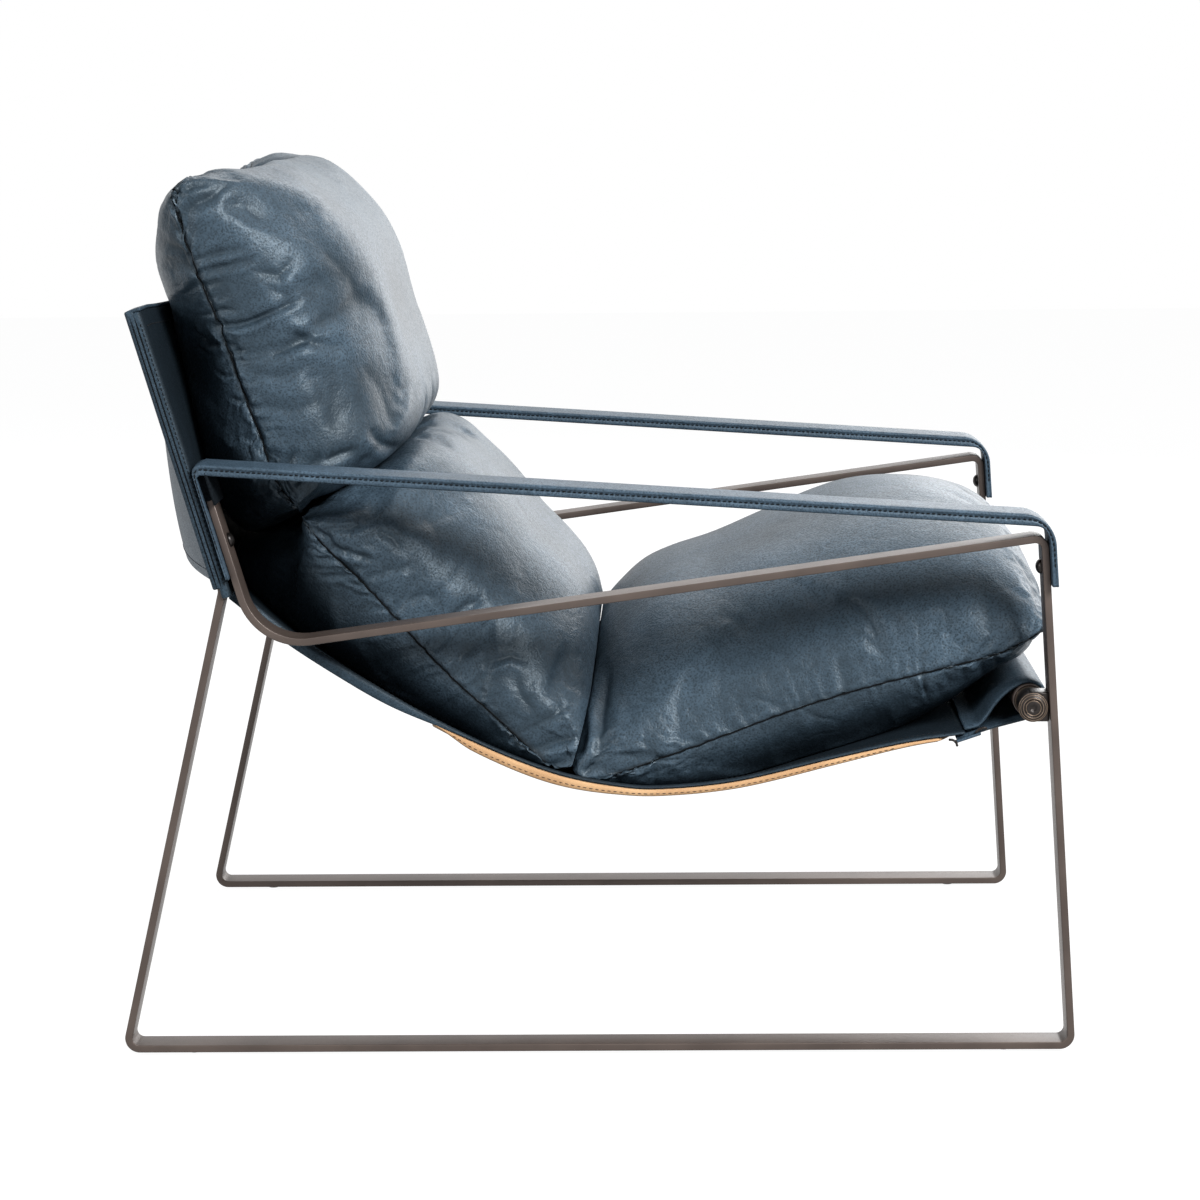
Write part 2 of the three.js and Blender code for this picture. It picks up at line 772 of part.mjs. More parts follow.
function makeTubeBolt() {
  const headBase = capOuterX - capPocketDeep + gap;
  const radius = boltHeadDiameter / 2;
  const end = headBase - (bossInnerX - plugLength);
  const profile = [
    [0, 0],
    [radius, 0],
    [radius, boltHeadTall],
    [boltDiameter / 2, boltHeadTall],
    [boltDiameter / 2, boltHeadTall + end],
    [0, boltHeadTall + end],
  ];
  const body = new THREE.LatheGeometry(profile.map(([r, h]) => at(r, h)), roundFacets);
  const hexRadius = hexAcross / 2 / Math.cos(Math.PI / 6);
  const hex = new THREE.CylinderGeometry(hexRadius, hexRadius, 2 * hexDeep, 6);
  const start = inSideView(headBase + boltHeadTall, tubeAxis);
  return standAt(cut(body, hex), start, alongXAxis.clone().negate());
}

// Glide: a plastic button under the rail with a stem pushed up into the bar
function makeGlide(end) {
  const radius = glideDiameter / 2;
  const stem = glideStemDiameter / 2;
  const tall = railLift - gap;
  const top = railLift + barThick - barEdge;
  const profile = [
    [0, 0],
    [radius - glideEdge, 0],
    [radius, glideEdge],
    [radius, tall],
    [stem, tall],
    [stem, top],
    [0, top],
  ];
  return revolved(profile, roundFacets, glidePlace(end, 0), upwards);
}

// Cushion pad: three stuffed chambers, each between a front and a back skin that meet in a side seam.
// Each place is a share of the rail's length, back from the middle, and of the chair's height.
const backCushionShares = {
  front: [
    [0.307, 0.607], [0.256, 0.636], [0.212, 0.666], [0.195, 0.697], [0.2, 0.735], [0.211, 0.777],
    [0.224, 0.821], [0.238, 0.877], [0.257, 0.921], [0.287, 0.957], [0.317, 0.984], [0.35, 1.0],
    [0.385, 0.997], [0.419, 0.974],
  ],
  back: [
    [0.307, 0.607], [0.348, 0.624], [0.39, 0.647], [0.419, 0.691], [0.436, 0.742], [0.448, 0.793],
    [0.452, 0.831], [0.4585, 0.849], [0.4726, 0.889], [0.469, 0.931], [0.452, 0.96], [0.419, 0.974],
  ],
  seam: [
    [0.307, 0.607], [0.327, 0.647], [0.348, 0.6995], [0.363, 0.743], [0.377, 0.785], [0.39, 0.826],
    [0.4095, 0.8785], [0.421, 0.919], [0.431, 0.952], [0.419, 0.974],
  ],
};
const lumbarCushionShares = {
  front: [
    [0.306, 0.604], [0.2542, 0.6327], [0.2155, 0.6592], [0.1964, 0.6701], [0.1786, 0.6726],
    [0.158, 0.662], [0.1357, 0.638], [0.1095, 0.61], [0.0917, 0.587], [0.0714, 0.556], [0.0452, 0.527],
    [0.0214, 0.4936], [0.0083, 0.4616], [0.0036, 0.4284], [0.0095, 0.39], [0.019, 0.3517],
    [0.0333, 0.3159],
  ],
  back: [
    [0.306, 0.604], [0.345, 0.5857], [0.383, 0.547], [0.371, 0.492], [0.321, 0.441], [0.238, 0.381],
    [0.155, 0.327], [0.095, 0.297], [0.057, 0.292], [0.0333, 0.3159],
  ],
  seam: [
    [0.306, 0.604], [0.281, 0.57], [0.249, 0.5345], [0.208, 0.487], [0.1786, 0.45], [0.149, 0.417],
    [0.113, 0.381], [0.0774, 0.345], [0.0476, 0.322], [0.0333, 0.3159],
  ],
};
const seatCushionShares = {
  front: [
    [0.0119, 0.2967], [0.0143, 0.326], [0.0095, 0.3606], [0.0024, 0.394], [-0.0024, 0.427],
    [-0.0167, 0.4565], [-0.0476, 0.4898], [-0.0798, 0.509], [-0.125, 0.5243], [-0.182, 0.551],
    [-0.244, 0.578], [-0.281, 0.591], [-0.327, 0.597], [-0.371, 0.596], [-0.405, 0.588],
    [-0.433, 0.574], [-0.4595, 0.55], [-0.476, 0.518], [-0.4786, 0.4795],
  ],
  back: [
    [0.0119, 0.2967], [-0.012, 0.268], [-0.0476, 0.256], [-0.107, 0.2506], [-0.1786, 0.2634],
    [-0.25, 0.289], [-0.321, 0.325], [-0.381, 0.368], [-0.4226, 0.4118], [-0.458, 0.4348],
    [-0.4786, 0.4795],
  ],
  seam: [
    [0.0119, 0.2967], [-0.0286, 0.3107], [-0.063, 0.3235], [-0.1298, 0.349], [-0.1976, 0.376],
    [-0.264, 0.399], [-0.331, 0.418], [-0.3976, 0.436], [-0.431, 0.449], [-0.457, 0.467],
  ],
};

function padCurve(shares) {
  return new THREE.SplineCurve(shares.map(([y, z]) => at(y * railLength, z * chairHeight)));
}

// The sling's middle line at x, from the sleeve's top to the pocket seam, for the pad to lie on
function restLine(x) {
  const line = [];
  for (let i = 0; i < pathSamples; i++) line.push(sleevePoint(i / pathSamples, x));
  for (let i = 0; i <= pathSamples; i++) line.push(seatPoint(i / pathSamples, x));
  return line;
}

// A point of the pad pushed clear of the sling and of the pocket round the front tube
function settled(point, line) {
  const clear = slingLeather / 2 + padClearance;
  let nearest = Infinity;
  let push = null;
  for (let i = 1; i < line.length; i++) {
    const along = line[i].clone().sub(line[i - 1]);
    const share = point.clone().sub(line[i - 1]).dot(along) / along.lengthSq();
    if (share < 0 || share > 1) continue;
    const offset = point.clone().sub(line[i - 1]).addScaledVector(along, -share);
    if (offset.length() > nearest) continue;
    nearest = offset.length();
    const inward = at(along.y, -along.x).normalize();
    const height = offset.dot(inward);
    push = height < clear ? inward.multiplyScalar(clear - height) : null;
  }
  const moved = push ? point.clone().add(push) : point.clone();
  const fromTube = moved.clone().sub(tubeAxis);
  const round = tubeDiameter / 2 + gap + slingLeather + padClearance;
  return fromTube.length() < round ? fromTube.setLength(round).add(tubeAxis) : moved;
}

function makeCushion(shares) {
  const [front, back, seam] = [shares.front, shares.back, shares.seam].map(padCurve);
  const points = [];
  const faces = [];
  const frontAt = [];
  const backAt = [];
  const lines = Array.from({ length: padColumns + 1 }, (_, j) => restLine(padX(j, 0)));
  for (let i = 0; i <= padRows; i++) {
    const v = i / padRows;
    const ends = [front, back, seam].map((curve) => curve.getPointAt(v));
    frontAt.push([]);
    backAt.push([]);
    for (let j = 0; j <= padColumns; j++) {
      const crown = crownAt(padShare(j));
      const x = padX(j, v);
      const skin = (end) => inSideView(x, settled(ends[2].clone().lerp(end, crown), lines[j]));
      frontAt[i].push(points.push(skin(ends[0])) - 1);
      const onSeam = i === 0 || i === padRows || j === 0 || j === padColumns;
      backAt[i].push(onSeam ? frontAt[i][j] : points.push(skin(ends[1])) - 1);
    }
  }
  for (let i = 0; i < padRows; i++) {
    for (let j = 0; j < padColumns; j++) {
      const quads = [
        [frontAt[i][j], frontAt[i][j + 1], frontAt[i + 1][j + 1], frontAt[i + 1][j]],
        [backAt[i][j], backAt[i + 1][j], backAt[i + 1][j + 1], backAt[i][j + 1]],
      ];
      quads.forEach(([a, b, c, d]) => faces.push(a, b, c, a, c, d));
    }
  }
  return closedGeometry(points, faces);
}

// Share across the pad from -1 to 1 at a column, with closer columns at the side seams
const padShare = (column) => Math.sin((Math.PI / 2) * ((2 * column) / padColumns - 1));
const padX = (column, v) => padShare(column) * (padHalf - sideDraw * Math.sin(Math.PI * v));
// How full the cushion is across the pad, from 0 at the side seams to 1 in the middle
const crownAt = (share) => Math.sqrt(Math.max(0, 1 - Math.abs(share) ** 2.6));

addPair("side_frame", makeSideFrame(), "frame");
addPiece("back_top_crossbar", makeTopCrossbar(), "frame");
addPiece("back_lower_crossbar", makeLowerCrossbar(), "frame");
addPiece("front_tube", makeFrontTube(), "frame");
addPair("tube_plug", makeTubePlug(), "fitting");
addPair("tube_bracket", makeTubeBracket(), "fitting");
addPair("tube_cap", makeTubeCap(), "fitting");
addPair("tube_bolt", makeTubeBolt(), "fitting");
addPair("arm_strap", makeArmStrap(), "leather");
addPair("strap_screw", makeStrapScrew(), "fitting");
addPair("strap_insert", makeStrapInsert(), "fitting");
addPair("arm_bolt", makeArmBolt(), "fitting");
addPair("front_glide", makeGlide(-1), "glide");
addPair("rear_glide", makeGlide(1), "glide");
addPiece("sling", makeSling(), "leather");
addPiece("seat_lining", makeLining(), "suede");
addPiece("back_panel", makeBackPanel(), "leather");
addPiece("back_cushion", makeCushion(backCushionShares), "pad");
addPiece("lumbar_cushion", makeCushion(lumbarCushionShares), "pad");
addPiece("seat_cushion", makeCushion(seatCushionShares), "pad");

export default chair;
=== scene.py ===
# %% [markdown]
# A leather sling lounge chair. Two bent flat bars carry a leather hammock, and a stuffed leather pad lies
# in it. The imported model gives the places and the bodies; the pieces below give them their finish.

import bmesh
import bpy
import numpy as np
from mathutils import Matrix


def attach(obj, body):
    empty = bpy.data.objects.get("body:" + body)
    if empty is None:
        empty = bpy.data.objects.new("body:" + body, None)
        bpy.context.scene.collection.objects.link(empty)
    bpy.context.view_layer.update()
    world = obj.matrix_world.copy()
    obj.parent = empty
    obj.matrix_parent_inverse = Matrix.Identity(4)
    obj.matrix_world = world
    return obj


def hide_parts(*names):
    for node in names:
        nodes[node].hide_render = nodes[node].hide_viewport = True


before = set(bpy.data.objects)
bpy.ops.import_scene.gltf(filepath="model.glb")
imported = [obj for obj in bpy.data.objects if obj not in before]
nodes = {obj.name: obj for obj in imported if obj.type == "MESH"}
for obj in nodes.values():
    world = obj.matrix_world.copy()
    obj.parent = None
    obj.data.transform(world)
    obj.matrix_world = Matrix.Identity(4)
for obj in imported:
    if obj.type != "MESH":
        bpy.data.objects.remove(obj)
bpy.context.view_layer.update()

# %% [markdown]
# The camera stands at the sitter's right, a little above the arms, with a long lens. It is placed by its
# spot, its pitch and its turn, so that the chair sits in the picture as it does in the photograph.

# %% Camera
def long_lens_camera(place, pitch, turn, roll, lens):
    """Looks along (cos turn cos pitch, sin turn cos pitch, -sin pitch), rolled about that line."""
    ahead = np.array([np.cos(turn) * np.cos(pitch), np.sin(turn) * np.cos(pitch), -np.sin(pitch)])
    side = np.cross(ahead, [0, 0, 1])
    side /= np.linalg.norm(side)
    top = np.cross(side, ahead)
    right = np.cos(roll) * side + np.sin(roll) * top
    up = -np.sin(roll) * side + np.cos(roll) * top
    data = bpy.data.cameras.new("long_lens")
    data.lens = lens
    data.sensor_width = 36
    data.clip_end = 60
    camera = bpy.data.objects.new("long_lens", data)
    bpy.context.scene.collection.objects.link(camera)
    turned = np.eye(4)
    turned[:3, :3] = np.stack([right, up, -ahead], axis=1)
    turned[:3, 3] = place
    camera.matrix_world = Matrix(turned.tolist())
    bpy.context.scene.camera = camera
    return camera


long_lens_camera(
    (-3.3099, -0.0680, 0.8617), np.radians(8.7075), np.radians(1.1919), np.radians(-0.5573), 104.7
)

# %% [markdown]
# Every new piece is a surface on a grid: an array of rows and columns of points. These helpers turn such
# an array into a mesh, close it, and put it on a body with its finish.

# %% Surfaces from grids
mm = 0.001


def unit(vectors):
    """Each vector divided by its own length."""
    return vectors / np.maximum(np.linalg.norm(vectors, axis=-1, keepdims=True), 1e-12)


def run_along(line):
    """The length of a polyline from its start to each of its places."""
    return np.concatenate([[0], np.cumsum(np.linalg.norm(np.diff(line, axis=0), axis=1))])


def places(text):
    """Pairs of y and z in millimetres, written as words, as an array in metres."""
    return np.array([float(v) for v in text.split()]).reshape(-1, 2) * mm


def grid_faces(rows, columns):
    """One quad between each four neighbours of a grid whose last column is joined to its first."""
    i, j = np.meshgrid(np.arange(rows - 1), np.arange(columns), indexing="ij")
    k = (j + 1) % columns
    quads = np.stack([i * columns + j, i * columns + k, (i + 1) * columns + k, (i + 1) * columns + j], -1)
    return quads.reshape(-1, 4)


def mesh_piece(name, points, quads, material, body, slot, merge=1e-5):
    """A mesh object from points and quads, with doubles merged and its faces turned outwards."""
    mesh = bpy.data.meshes.new(name)
    mesh.vertices.add(len(points))
    mesh.vertices.foreach_set("co", np.asarray(points, np.float32).ravel())
    mesh.loops.add(quads.size)
    mesh.loops.foreach_set("vertex_index", quads.astype(np.int32).ravel())
    mesh.polygons.add(len(quads))
    mesh.polygons.foreach_set("loop_start", np.arange(0, quads.size, quads.shape[1], dtype=np.int32))
    mesh.update(calc_edges=True)
    if merge:
        work = bmesh.new()
        work.from_mesh(mesh)
        bmesh.ops.remove_doubles(work, verts=work.verts, dist=merge)
        bmesh.ops.dissolve_degenerate(work, edges=work.edges, dist=merge / 10)
        bmesh.ops.recalc_face_normals(work, faces=work.faces)
        work.to_mesh(mesh)
        work.free()
    mesh.validate()
    mesh.polygons.foreach_set("use_smooth", np.ones(len(mesh.polygons), bool))
    mesh.materials.append(material)
    piece = bpy.data.objects.new(name, mesh)
    bpy.context.scene.collection.objects.link(piece)
    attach(piece, body)
    return piece


def attribute(piece, name, values):
    """A value for each vertex, which the leather's material reads by its name."""
    made = piece.data.attributes.new(name, "FLOAT", "POINT")
    made.data.foreach_set("value", values.astype(np.float32))


def joined(grids):
    """The points and quads of several grids that are closed across, as one mesh."""
    points, quads, first = [], [], 0
    for grid in grids:
        rows, columns = grid.shape[:2]
        points.append(grid.reshape(-1, 3))
        quads.append(grid_faces(rows, columns) + first)
        first += rows * columns
    return np.concatenate(points), np.concatenate(quads)


def mirrored(grid):
    """The same grid on the other side of the chair, with its columns turned round to face outwards."""
    return grid[:, ::-1] * np.array([-1, 1, 1])


# %% [markdown]
# Sewing shows as short raised stitches with a gap between them. Each stitch is a small spindle with a few
# faces, because there are over a thousand of them.

# %% Stitches
def stitches(path, facing, pitch=4.8 * mm, long=3.7 * mm, thick=0.5 * mm, lift=0.1 * mm):
    """Spindles along a path: centre + way * half length * s + radius(s) * (facing cos + across sin), where
    radius(s) = thick * (1 - s^4), and the middle of each stitch is lifted off the leather."""
    path = np.asarray(path, float)
    facing = unit(np.broadcast_to(np.asarray(facing, float), path.shape))
    length = run_along(path)
    spots = np.arange(pitch, length[-1] - pitch / 2, pitch)

    def at(values, where):
        return np.stack([np.interp(where, length, values[:, k]) for k in range(3)], 1)

    centre, out = at(path, spots), unit(at(facing, spots))
    way = unit(at(path, spots + long / 2) - at(path, spots - long / 2))
    across = np.cross(way, out)
    s = np.array([-1, -0.85, -0.4, 0.4, 0.85, 1.0])
    angles = np.linspace(0, 2 * np.pi, 5, endpoint=False)
    radius = thick * (1 - s**4)
    ring = out[:, None, None] * np.cos(angles)[:, None] + across[:, None, None] * np.sin(angles)[:, None]
    spine = centre[:, None] + way[:, None] * (s * long / 2)[:, None]
    spine = spine + out[:, None] * (lift * (1 - s**2))[:, None]
    return spine[:, :, None] + ring * radius[:, None, None]


def sewn_rows(name, rows, material, body="frame", slot="sling_leather"):
    """One mesh of all the stitches of several rows."""
    spindles = np.concatenate(rows)
    count, rings, sides = spindles.shape[:3]
    one = grid_faces(rings, sides)
    quads = (one[None] + (np.arange(count) * rings * sides)[:, None, None]).reshape(-1, 4)
    piece = mesh_piece(name, spindles.reshape(-1, 3), quads, material, body, slot)
    print(name, "has", count, "stitches")
    return piece


# %% [markdown]
# The chair is drawn in its side view, as the maker would bend it: corners with a bending radius. y runs
# back and z up. The same places serve the bar, the leather that goes round it and the straps.

# %% Places in the side view
def rounded_path(corners, step=np.radians(3)):
    """A polyline through (y, z, radius) corners; a corner with a radius becomes an arc between its legs."""
    path = []
    for k, (y, z, radius) in enumerate(corners):
        here = np.array([y, z], float)
        if radius == 0:
            path.append(here)
            continue
        back = unit(np.array(corners[k - 1][:2]) - here)
        ahead = unit(np.array(corners[k + 1][:2]) - here)
        half = np.arccos(np.clip(back @ ahead, -1, 1)) / 2
        centre = here + unit(back + ahead) * radius / np.sin(half)
        first, last = (here + leg * radius / np.tan(half) - centre for leg in (back, ahead))
        turn = np.arctan2(first[0] * last[1] - first[1] * last[0], first @ last)
        angles = np.linspace(0, turn, max(3, int(abs(turn) / step) + 1))
        cos, sin = np.cos(angles), np.sin(angles)
        arc = np.stack([cos * first[0] - sin * first[1], sin * first[0] + cos * first[1]], 1)
        path += list(centre + arc)
    return np.array(path)


bar_wide, bar_thick = 32 * mm, 6.5 * mm
outer_x, inner_x, bar_x = 330 * mm, 298 * mm, 314 * mm
gap, leather_thick = 0.3 * mm, 3.2 * mm
front_foot, rear_foot = np.array([-416.75, 6.25]) * mm, np.array([416.75, 6.25]) * mm
arm_corner, knee = np.array([-389.25, 456.4]) * mm, np.array([321.25, 415.5]) * mm
upright_top = np.array([389.25, 648.0]) * mm
upright_way = unit(upright_top - knee)
upright_front = np.array([-upright_way[1], upright_way[0]])
leg_way = unit(arm_corner - front_foot)
leg_front = np.array([-leg_way[1], leg_way[0]])
sleeve_off = bar_thick / 2 + gap + leather_thick / 2
tail_off = sleeve_off + leather_thick / 2 + gap + 1.5 * mm
arm_run_off = tail_off + 1.5 * mm + gap + bar_thick / 2
flap_off = arm_run_off + bar_thick / 2 + gap + 1.25 * mm
tube_spot = np.array([-380.6, 308.0]) * mm


def by_upright(off, z):
    """The place at height z on the line parallel to the upright that lies off in front of its middle."""
    start = knee + upright_front * off
    return start + upright_way * (z - start[1]) / upright_way[1]


def by_leg(off, z):
    """The place at height z on the line parallel to the front leg that lies off in front of its middle."""
    start = front_foot + leg_front * off
    return start + leg_way * (z - start[1]) / leg_way[1]


print("the arm's bar lies", round(arm_run_off / mm, 2), "mm in front of the upright")

# %% [markdown]
# Node trees are written with one small helper, so that a material reads like a recipe. Effects that
# several finishes share are node groups; the Principled shader stays in each material.

# %% Node helpers
def put(tree, kind, sockets=None, **settings):
    """A node with settings; a socket value that is a socket is linked, and any other is set."""
    made = tree.nodes.new(kind)
    for key, value in settings.items():
        setattr(made, key, value)
    for key, value in (sockets or {}).items():
        if isinstance(value, bpy.types.NodeSocket):
            tree.links.new(value, made.inputs[key])
        else:
            made.inputs[key].default_value = value
    return made


def blank_group(name, inputs, outputs):
    """A node group with a vector and float inputs and float outputs, and its two end nodes."""
    group = bpy.data.node_groups.new(name, "ShaderNodeTree")
    for key, value in inputs.items():
        kind = "NodeSocketVector" if key == "Vector" else "NodeSocketFloat"
        socket = group.interface.new_socket(key, in_out="INPUT", socket_type=kind)
        if kind == "NodeSocketFloat":
            socket.default_value = value
    for key in outputs:
        group.interface.new_socket(key, in_out="OUTPUT", socket_type="NodeSocketFloat")
    return group, group.nodes.new("NodeGroupInput"), group.nodes.new("NodeGroupOutput")


def finish(name, roughness, metallic=0.0, specular=0.5, sheen=0.0):
    """A material with its Principled shader and its Object coordinates."""
    material = bpy.data.materials.new(name)
    material.use_nodes = True
    tree = material.node_tree
    shader = tree.nodes["Principled BSDF"]
    values = (roughness, metallic, specular, sheen)
    for key, value in zip(("Roughness", "Metallic", "Specular IOR Level", "Sheen Weight"), values):
        shader.inputs[key].default_value = value
    place = tree.nodes.new("ShaderNodeTexCoord").outputs["Object"]
    return material, tree, shader, place


def mapped(tree, value, low, high, to_low, to_high):
    """A value moved from one range to another, and kept inside it."""
    sockets = {"Value": value, "From Min": low, "From Max": high, "To Min": to_low, "To Max": to_high}
    return put(tree, "ShaderNodeMapRange", sockets).outputs["Result"]


def noise(tree, place, scale, detail, **more):
    """The value of a noise texture; more names its other sockets."""
    sockets = {"Vector": place, "Scale": scale, "Detail": detail, **more}
    return put(tree, "ShaderNodeTexNoise", sockets).outputs["Fac"]


def maths(tree, operation, first, second, **settings):
    """Two values put through a Math node."""
    return put(tree, "ShaderNodeMath", {0: first, 1: second}, operation=operation, **settings).outputs[0]


def bumped(tree, height, strength, distance, **more):
    """The normal that a height gives, over an earlier Normal if more names one."""
    sockets = {"Height": height, "Strength": strength, "Distance": distance, **more}
    return put(tree, "ShaderNodeBump", sockets).outputs["Normal"]


def dressed_shader(tree, shader, **surface):
    """Links colours, values and normals to the shader's sockets of those names, with _ for a space."""
    for key, value in surface.items():
        tree.links.new(value, shader.inputs[key.replace("_", " ")])


def blended(tree, share, first, second):
    """A colour that goes from the first to the second as the share goes from 0 to 1."""
    made = put(tree, "ShaderNodeMix", data_type="RGBA")
    for socket, value in ((made.inputs[0], share), (made.inputs[6], first), (made.inputs[7], second)):
        if isinstance(value, bpy.types.NodeSocket):
            tree.links.new(value, socket)
        else:
            socket.default_value = value
    return made.outputs[2]


def colour(red, green, blue):
    """A display colour of 0 to 255 as the linear colour that a shader takes."""
    share = np.array([red, green, blue]) / 255
    linear = np.where(share <= 0.04045, share / 12.92, ((share + 0.055) / 1.055) ** 2.4)
    return (*linear.tolist(), 1.0)


# %% [markdown]
# Leather has a skin of small cells with fine pores, and a broad cloudiness from dyeing. The group gives
# both: a height for the bump, and a cloud mask for the colour.

# %% Leather grain group
def make_grain_group():
    """Height = cells of the skin + finer noise; Cloud = broad noise; Dapple = noise the size of a pebble."""
    group, start, end = blank_group(
        "leather_grain",
        {"Vector": None, "Cell": 900.0, "Cloud": 9.0},
        ("Height", "Cloud", "Dapple"),
    )
    place = start.outputs["Vector"]
    bent = put(group, "ShaderNodeTexNoise", {"Vector": place, "Scale": 60.0, "Detail": 2.0})
    shifted = put(
        group, "ShaderNodeVectorMath", {0: bent.outputs["Color"], "Scale": 0.004}, operation="SCALE"
    )
    moved = put(group, "ShaderNodeVectorMath", {0: place, 1: shifted.outputs[0]}, operation="ADD").outputs[0]
    cell = start.outputs["Cell"]
    sockets = {"Vector": moved, "Scale": cell, "Randomness": 1.0}
    cells = put(group, "ShaderNodeTexVoronoi", sockets, feature="SMOOTH_F1")
    fine = noise(group, place, cell, 3.0, Roughness=0.6)
    dressed_shader(
        group,
        end,
        Height=maths(group, "ADD", cells.outputs["Distance"], fine),
        Cloud=noise(group, place, start.outputs["Cloud"], 4.0, Roughness=0.55),
        Dapple=noise(group, moved, 75.0, 3.5, Roughness=0.62, Distortion=0.5),
    )
    return group


grain_group = make_grain_group()

# %% [markdown]
# All blue leather is one dye on three hides: soft and creased on the pad, smooth and firm on the sling,
# and a firmer, paler one on the straps. Creases get painted shade and raised folds a painted highlight.

# %% Blue leathers
def leather(name, dark, light, roughness, cell, depth, dapple_depth, cloud=9.0, specular=0.4):
    """Colour = dark to light by cloud, dapple and a painted shade in creases and highlight on raised folds,
    darker in pores and where the seam attribute paints shade; bump = dapple and then the grain of the skin."""
    material, tree, shader, place = finish(name, roughness, specular=specular)
    shader.inputs["Specular Tint"].default_value = (0.8, 0.92, 1.0, 1)
    grain = put(tree, "ShaderNodeGroup", {}, node_tree=grain_group)
    tree.links.new(place, grain.inputs["Vector"])
    grain.inputs["Cell"].default_value = cell
    grain.inputs["Cloud"].default_value = cloud
    # Painted shade and highlight: the height of each crease or fold darkens creases and lightens raised
    # folds.
    painted_fold_shading = put(tree, "ShaderNodeAttribute", attribute_name="painted_fold_shading").outputs["Fac"]
    seam = put(tree, "ShaderNodeAttribute", attribute_name="seam").outputs["Fac"]
    cloudy = mapped(tree, grain.outputs["Cloud"], 0.3, 0.7, 0.1, 0.6)
    dappled = mapped(tree, grain.outputs["Dapple"], 0.3, 0.7, 0.0, 0.4)
    tone = maths(tree, "ADD", maths(tree, "ADD", cloudy, dappled), painted_fold_shading, use_clamp=True)
    dyed = blended(tree, tone, dark, light)
    pores = mapped(tree, grain.outputs["Height"], 0.55, 1.05, 0.0, 1.0)
    pored = blended(tree, pores, tuple(0.8 * c for c in dark[:3]) + (1.0,), dyed)
    # Painted shade: the seam attribute takes the colour towards near black in seam grooves and hollows.
    shaded = blended(tree, seam, pored, tuple(0.12 * c for c in dark[:3]) + (1.0,))
    rough = mapped(tree, grain.outputs["Height"], 0.5, 1.1, roughness + 0.08, roughness - 0.05)
    soft = bumped(tree, grain.outputs["Dapple"], 1.0, dapple_depth)
    skin = bumped(tree, grain.outputs["Height"], 0.8, depth, Normal=soft)
    dressed_shader(tree, shader, Base_Color=shaded, Roughness=rough, Normal=skin)
    return material


pad_leather = leather(
    "pad_leather", colour(34, 46, 55), colour(68, 85, 99), 0.44, 540, 0.26 * mm, 0.8 * mm, specular=0.32
)
sling_leather = leather(
    "sling_leather", colour(36, 48, 57), colour(66, 83, 97), 0.5, 620, 0.18 * mm, 0.5 * mm, 6.0, 0.18
)
strap_leather = leather(
    "strap_leather", colour(42, 56, 68), colour(74, 93, 109), 0.5, 560, 0.28 * mm, 0.7 * mm, 14.0, 0.3
)
# Painted shade: a near-black leather for the strap's tongue and hood, which lie in the strap's shadow.
painted_shade_leather = leather(
    "painted_shade_leather", colour(9, 12, 15), colour(22, 28, 33), 0.85, 420, 0.3 * mm, 0.5 * mm, 14.0, 0.1
)
print("blue leathers:", pad_leather.name, sling_leather.name, strap_leather.name, painted_shade_leather.name)

# %% [markdown]
# The lining under the seat is raw tan suede: matte, with a short nap that makes soft darker patches.

# %% Tan suede
def suede(name, dark, light):
    """Colour = dark to light by a broad noise and a fine nap; the nap is also the bump."""
    material, tree, shader, place = finish(name, 0.85, specular=0.25, sheen=0.25)
    nap = noise(tree, place, 1400.0, 3.0)
    share = mapped(tree, maths(tree, "ADD", nap, noise(tree, place, 22.0, 5.0)), 0.7, 1.3, 0.0, 1.0)
    bump = bumped(tree, nap, 0.5, 0.3 * mm)
    dressed_shader(tree, shader, Base_Color=blended(tree, share, dark, light), Normal=bump)
    return material


tan_suede = suede("tan_suede", colour(180, 138, 98), colour(210, 171, 128))

# %% [markdown]
# The frame has a dark bronze powder coat: satin, with a very fine orange peel. The fittings are nearly
# black metal, with pale rings on their rims as painted highlights, and the glides are black plastic.

# %% Paint, dark metal and plastic
def coated(name, dark, light, roughness, metallic, peel_scale, peel_depth, specular=0.5):
    """Colour = dark to light by a broad noise; roughness and bump follow a fine orange peel."""
    material, tree, shader, place = finish(name, roughness, metallic, specular)
    peel = noise(tree, place, peel_scale, 2.0)
    share = mapped(tree, noise(tree, place, 18.0, 6.0), 0.35, 0.65, 0.0, 1.0)
    rough = mapped(tree, peel, 0.3, 0.7, roughness - 0.06, roughness + 0.06)
    bump = bumped(tree, peel, 0.4, peel_depth)
    dressed_shader(tree, shader, Base_Color=blended(tree, share, dark, light), Roughness=rough, Normal=bump)
    return material


bronze_paint = coated("bronze_paint", colour(74, 64, 59), colour(88, 77, 71), 0.42, 0.35, 1500, 0.12 * mm)
dark_metal = coated("dark_metal", colour(22, 19, 18), colour(44, 38, 35), 0.34, 0.6, 700, 0.05 * mm, 0.6)
black_plastic = coated("black_plastic", colour(22, 22, 23), colour(34, 34, 36), 0.55, 0.0, 2200, 0.1 * mm)
# Painted highlight: a pale bronze for thin rings on the fittings' rims.
highlight_bronze = coated("highlight_bronze", colour(92, 78, 66), colour(134, 116, 100), 0.34, 0.6, 1500, 0.05 * mm)
navy_thread = coated("navy_thread", colour(8, 11, 14), colour(20, 25, 30), 0.85, 0.0, 3000, 0.1 * mm, 0.2)
# Painted shade: near-black cords for the shade in the seam grooves and between leather layers.
painted_seam_shade = coated("painted_seam_shade", colour(7, 9, 11), colour(12, 15, 18), 0.9, 0.0, 3000, 0.05 * mm, 0.1)
brown_thread = coated("brown_thread", colour(62, 44, 30), colour(86, 62, 42), 0.7, 0.0, 3000, 0.1 * mm)

# %% [markdown]
# Each side frame is one flat bar bent five times. Its section is carried along the bent path: the section
# is a rectangle with softly rounded edges, because rolled bar has no sharp ones.

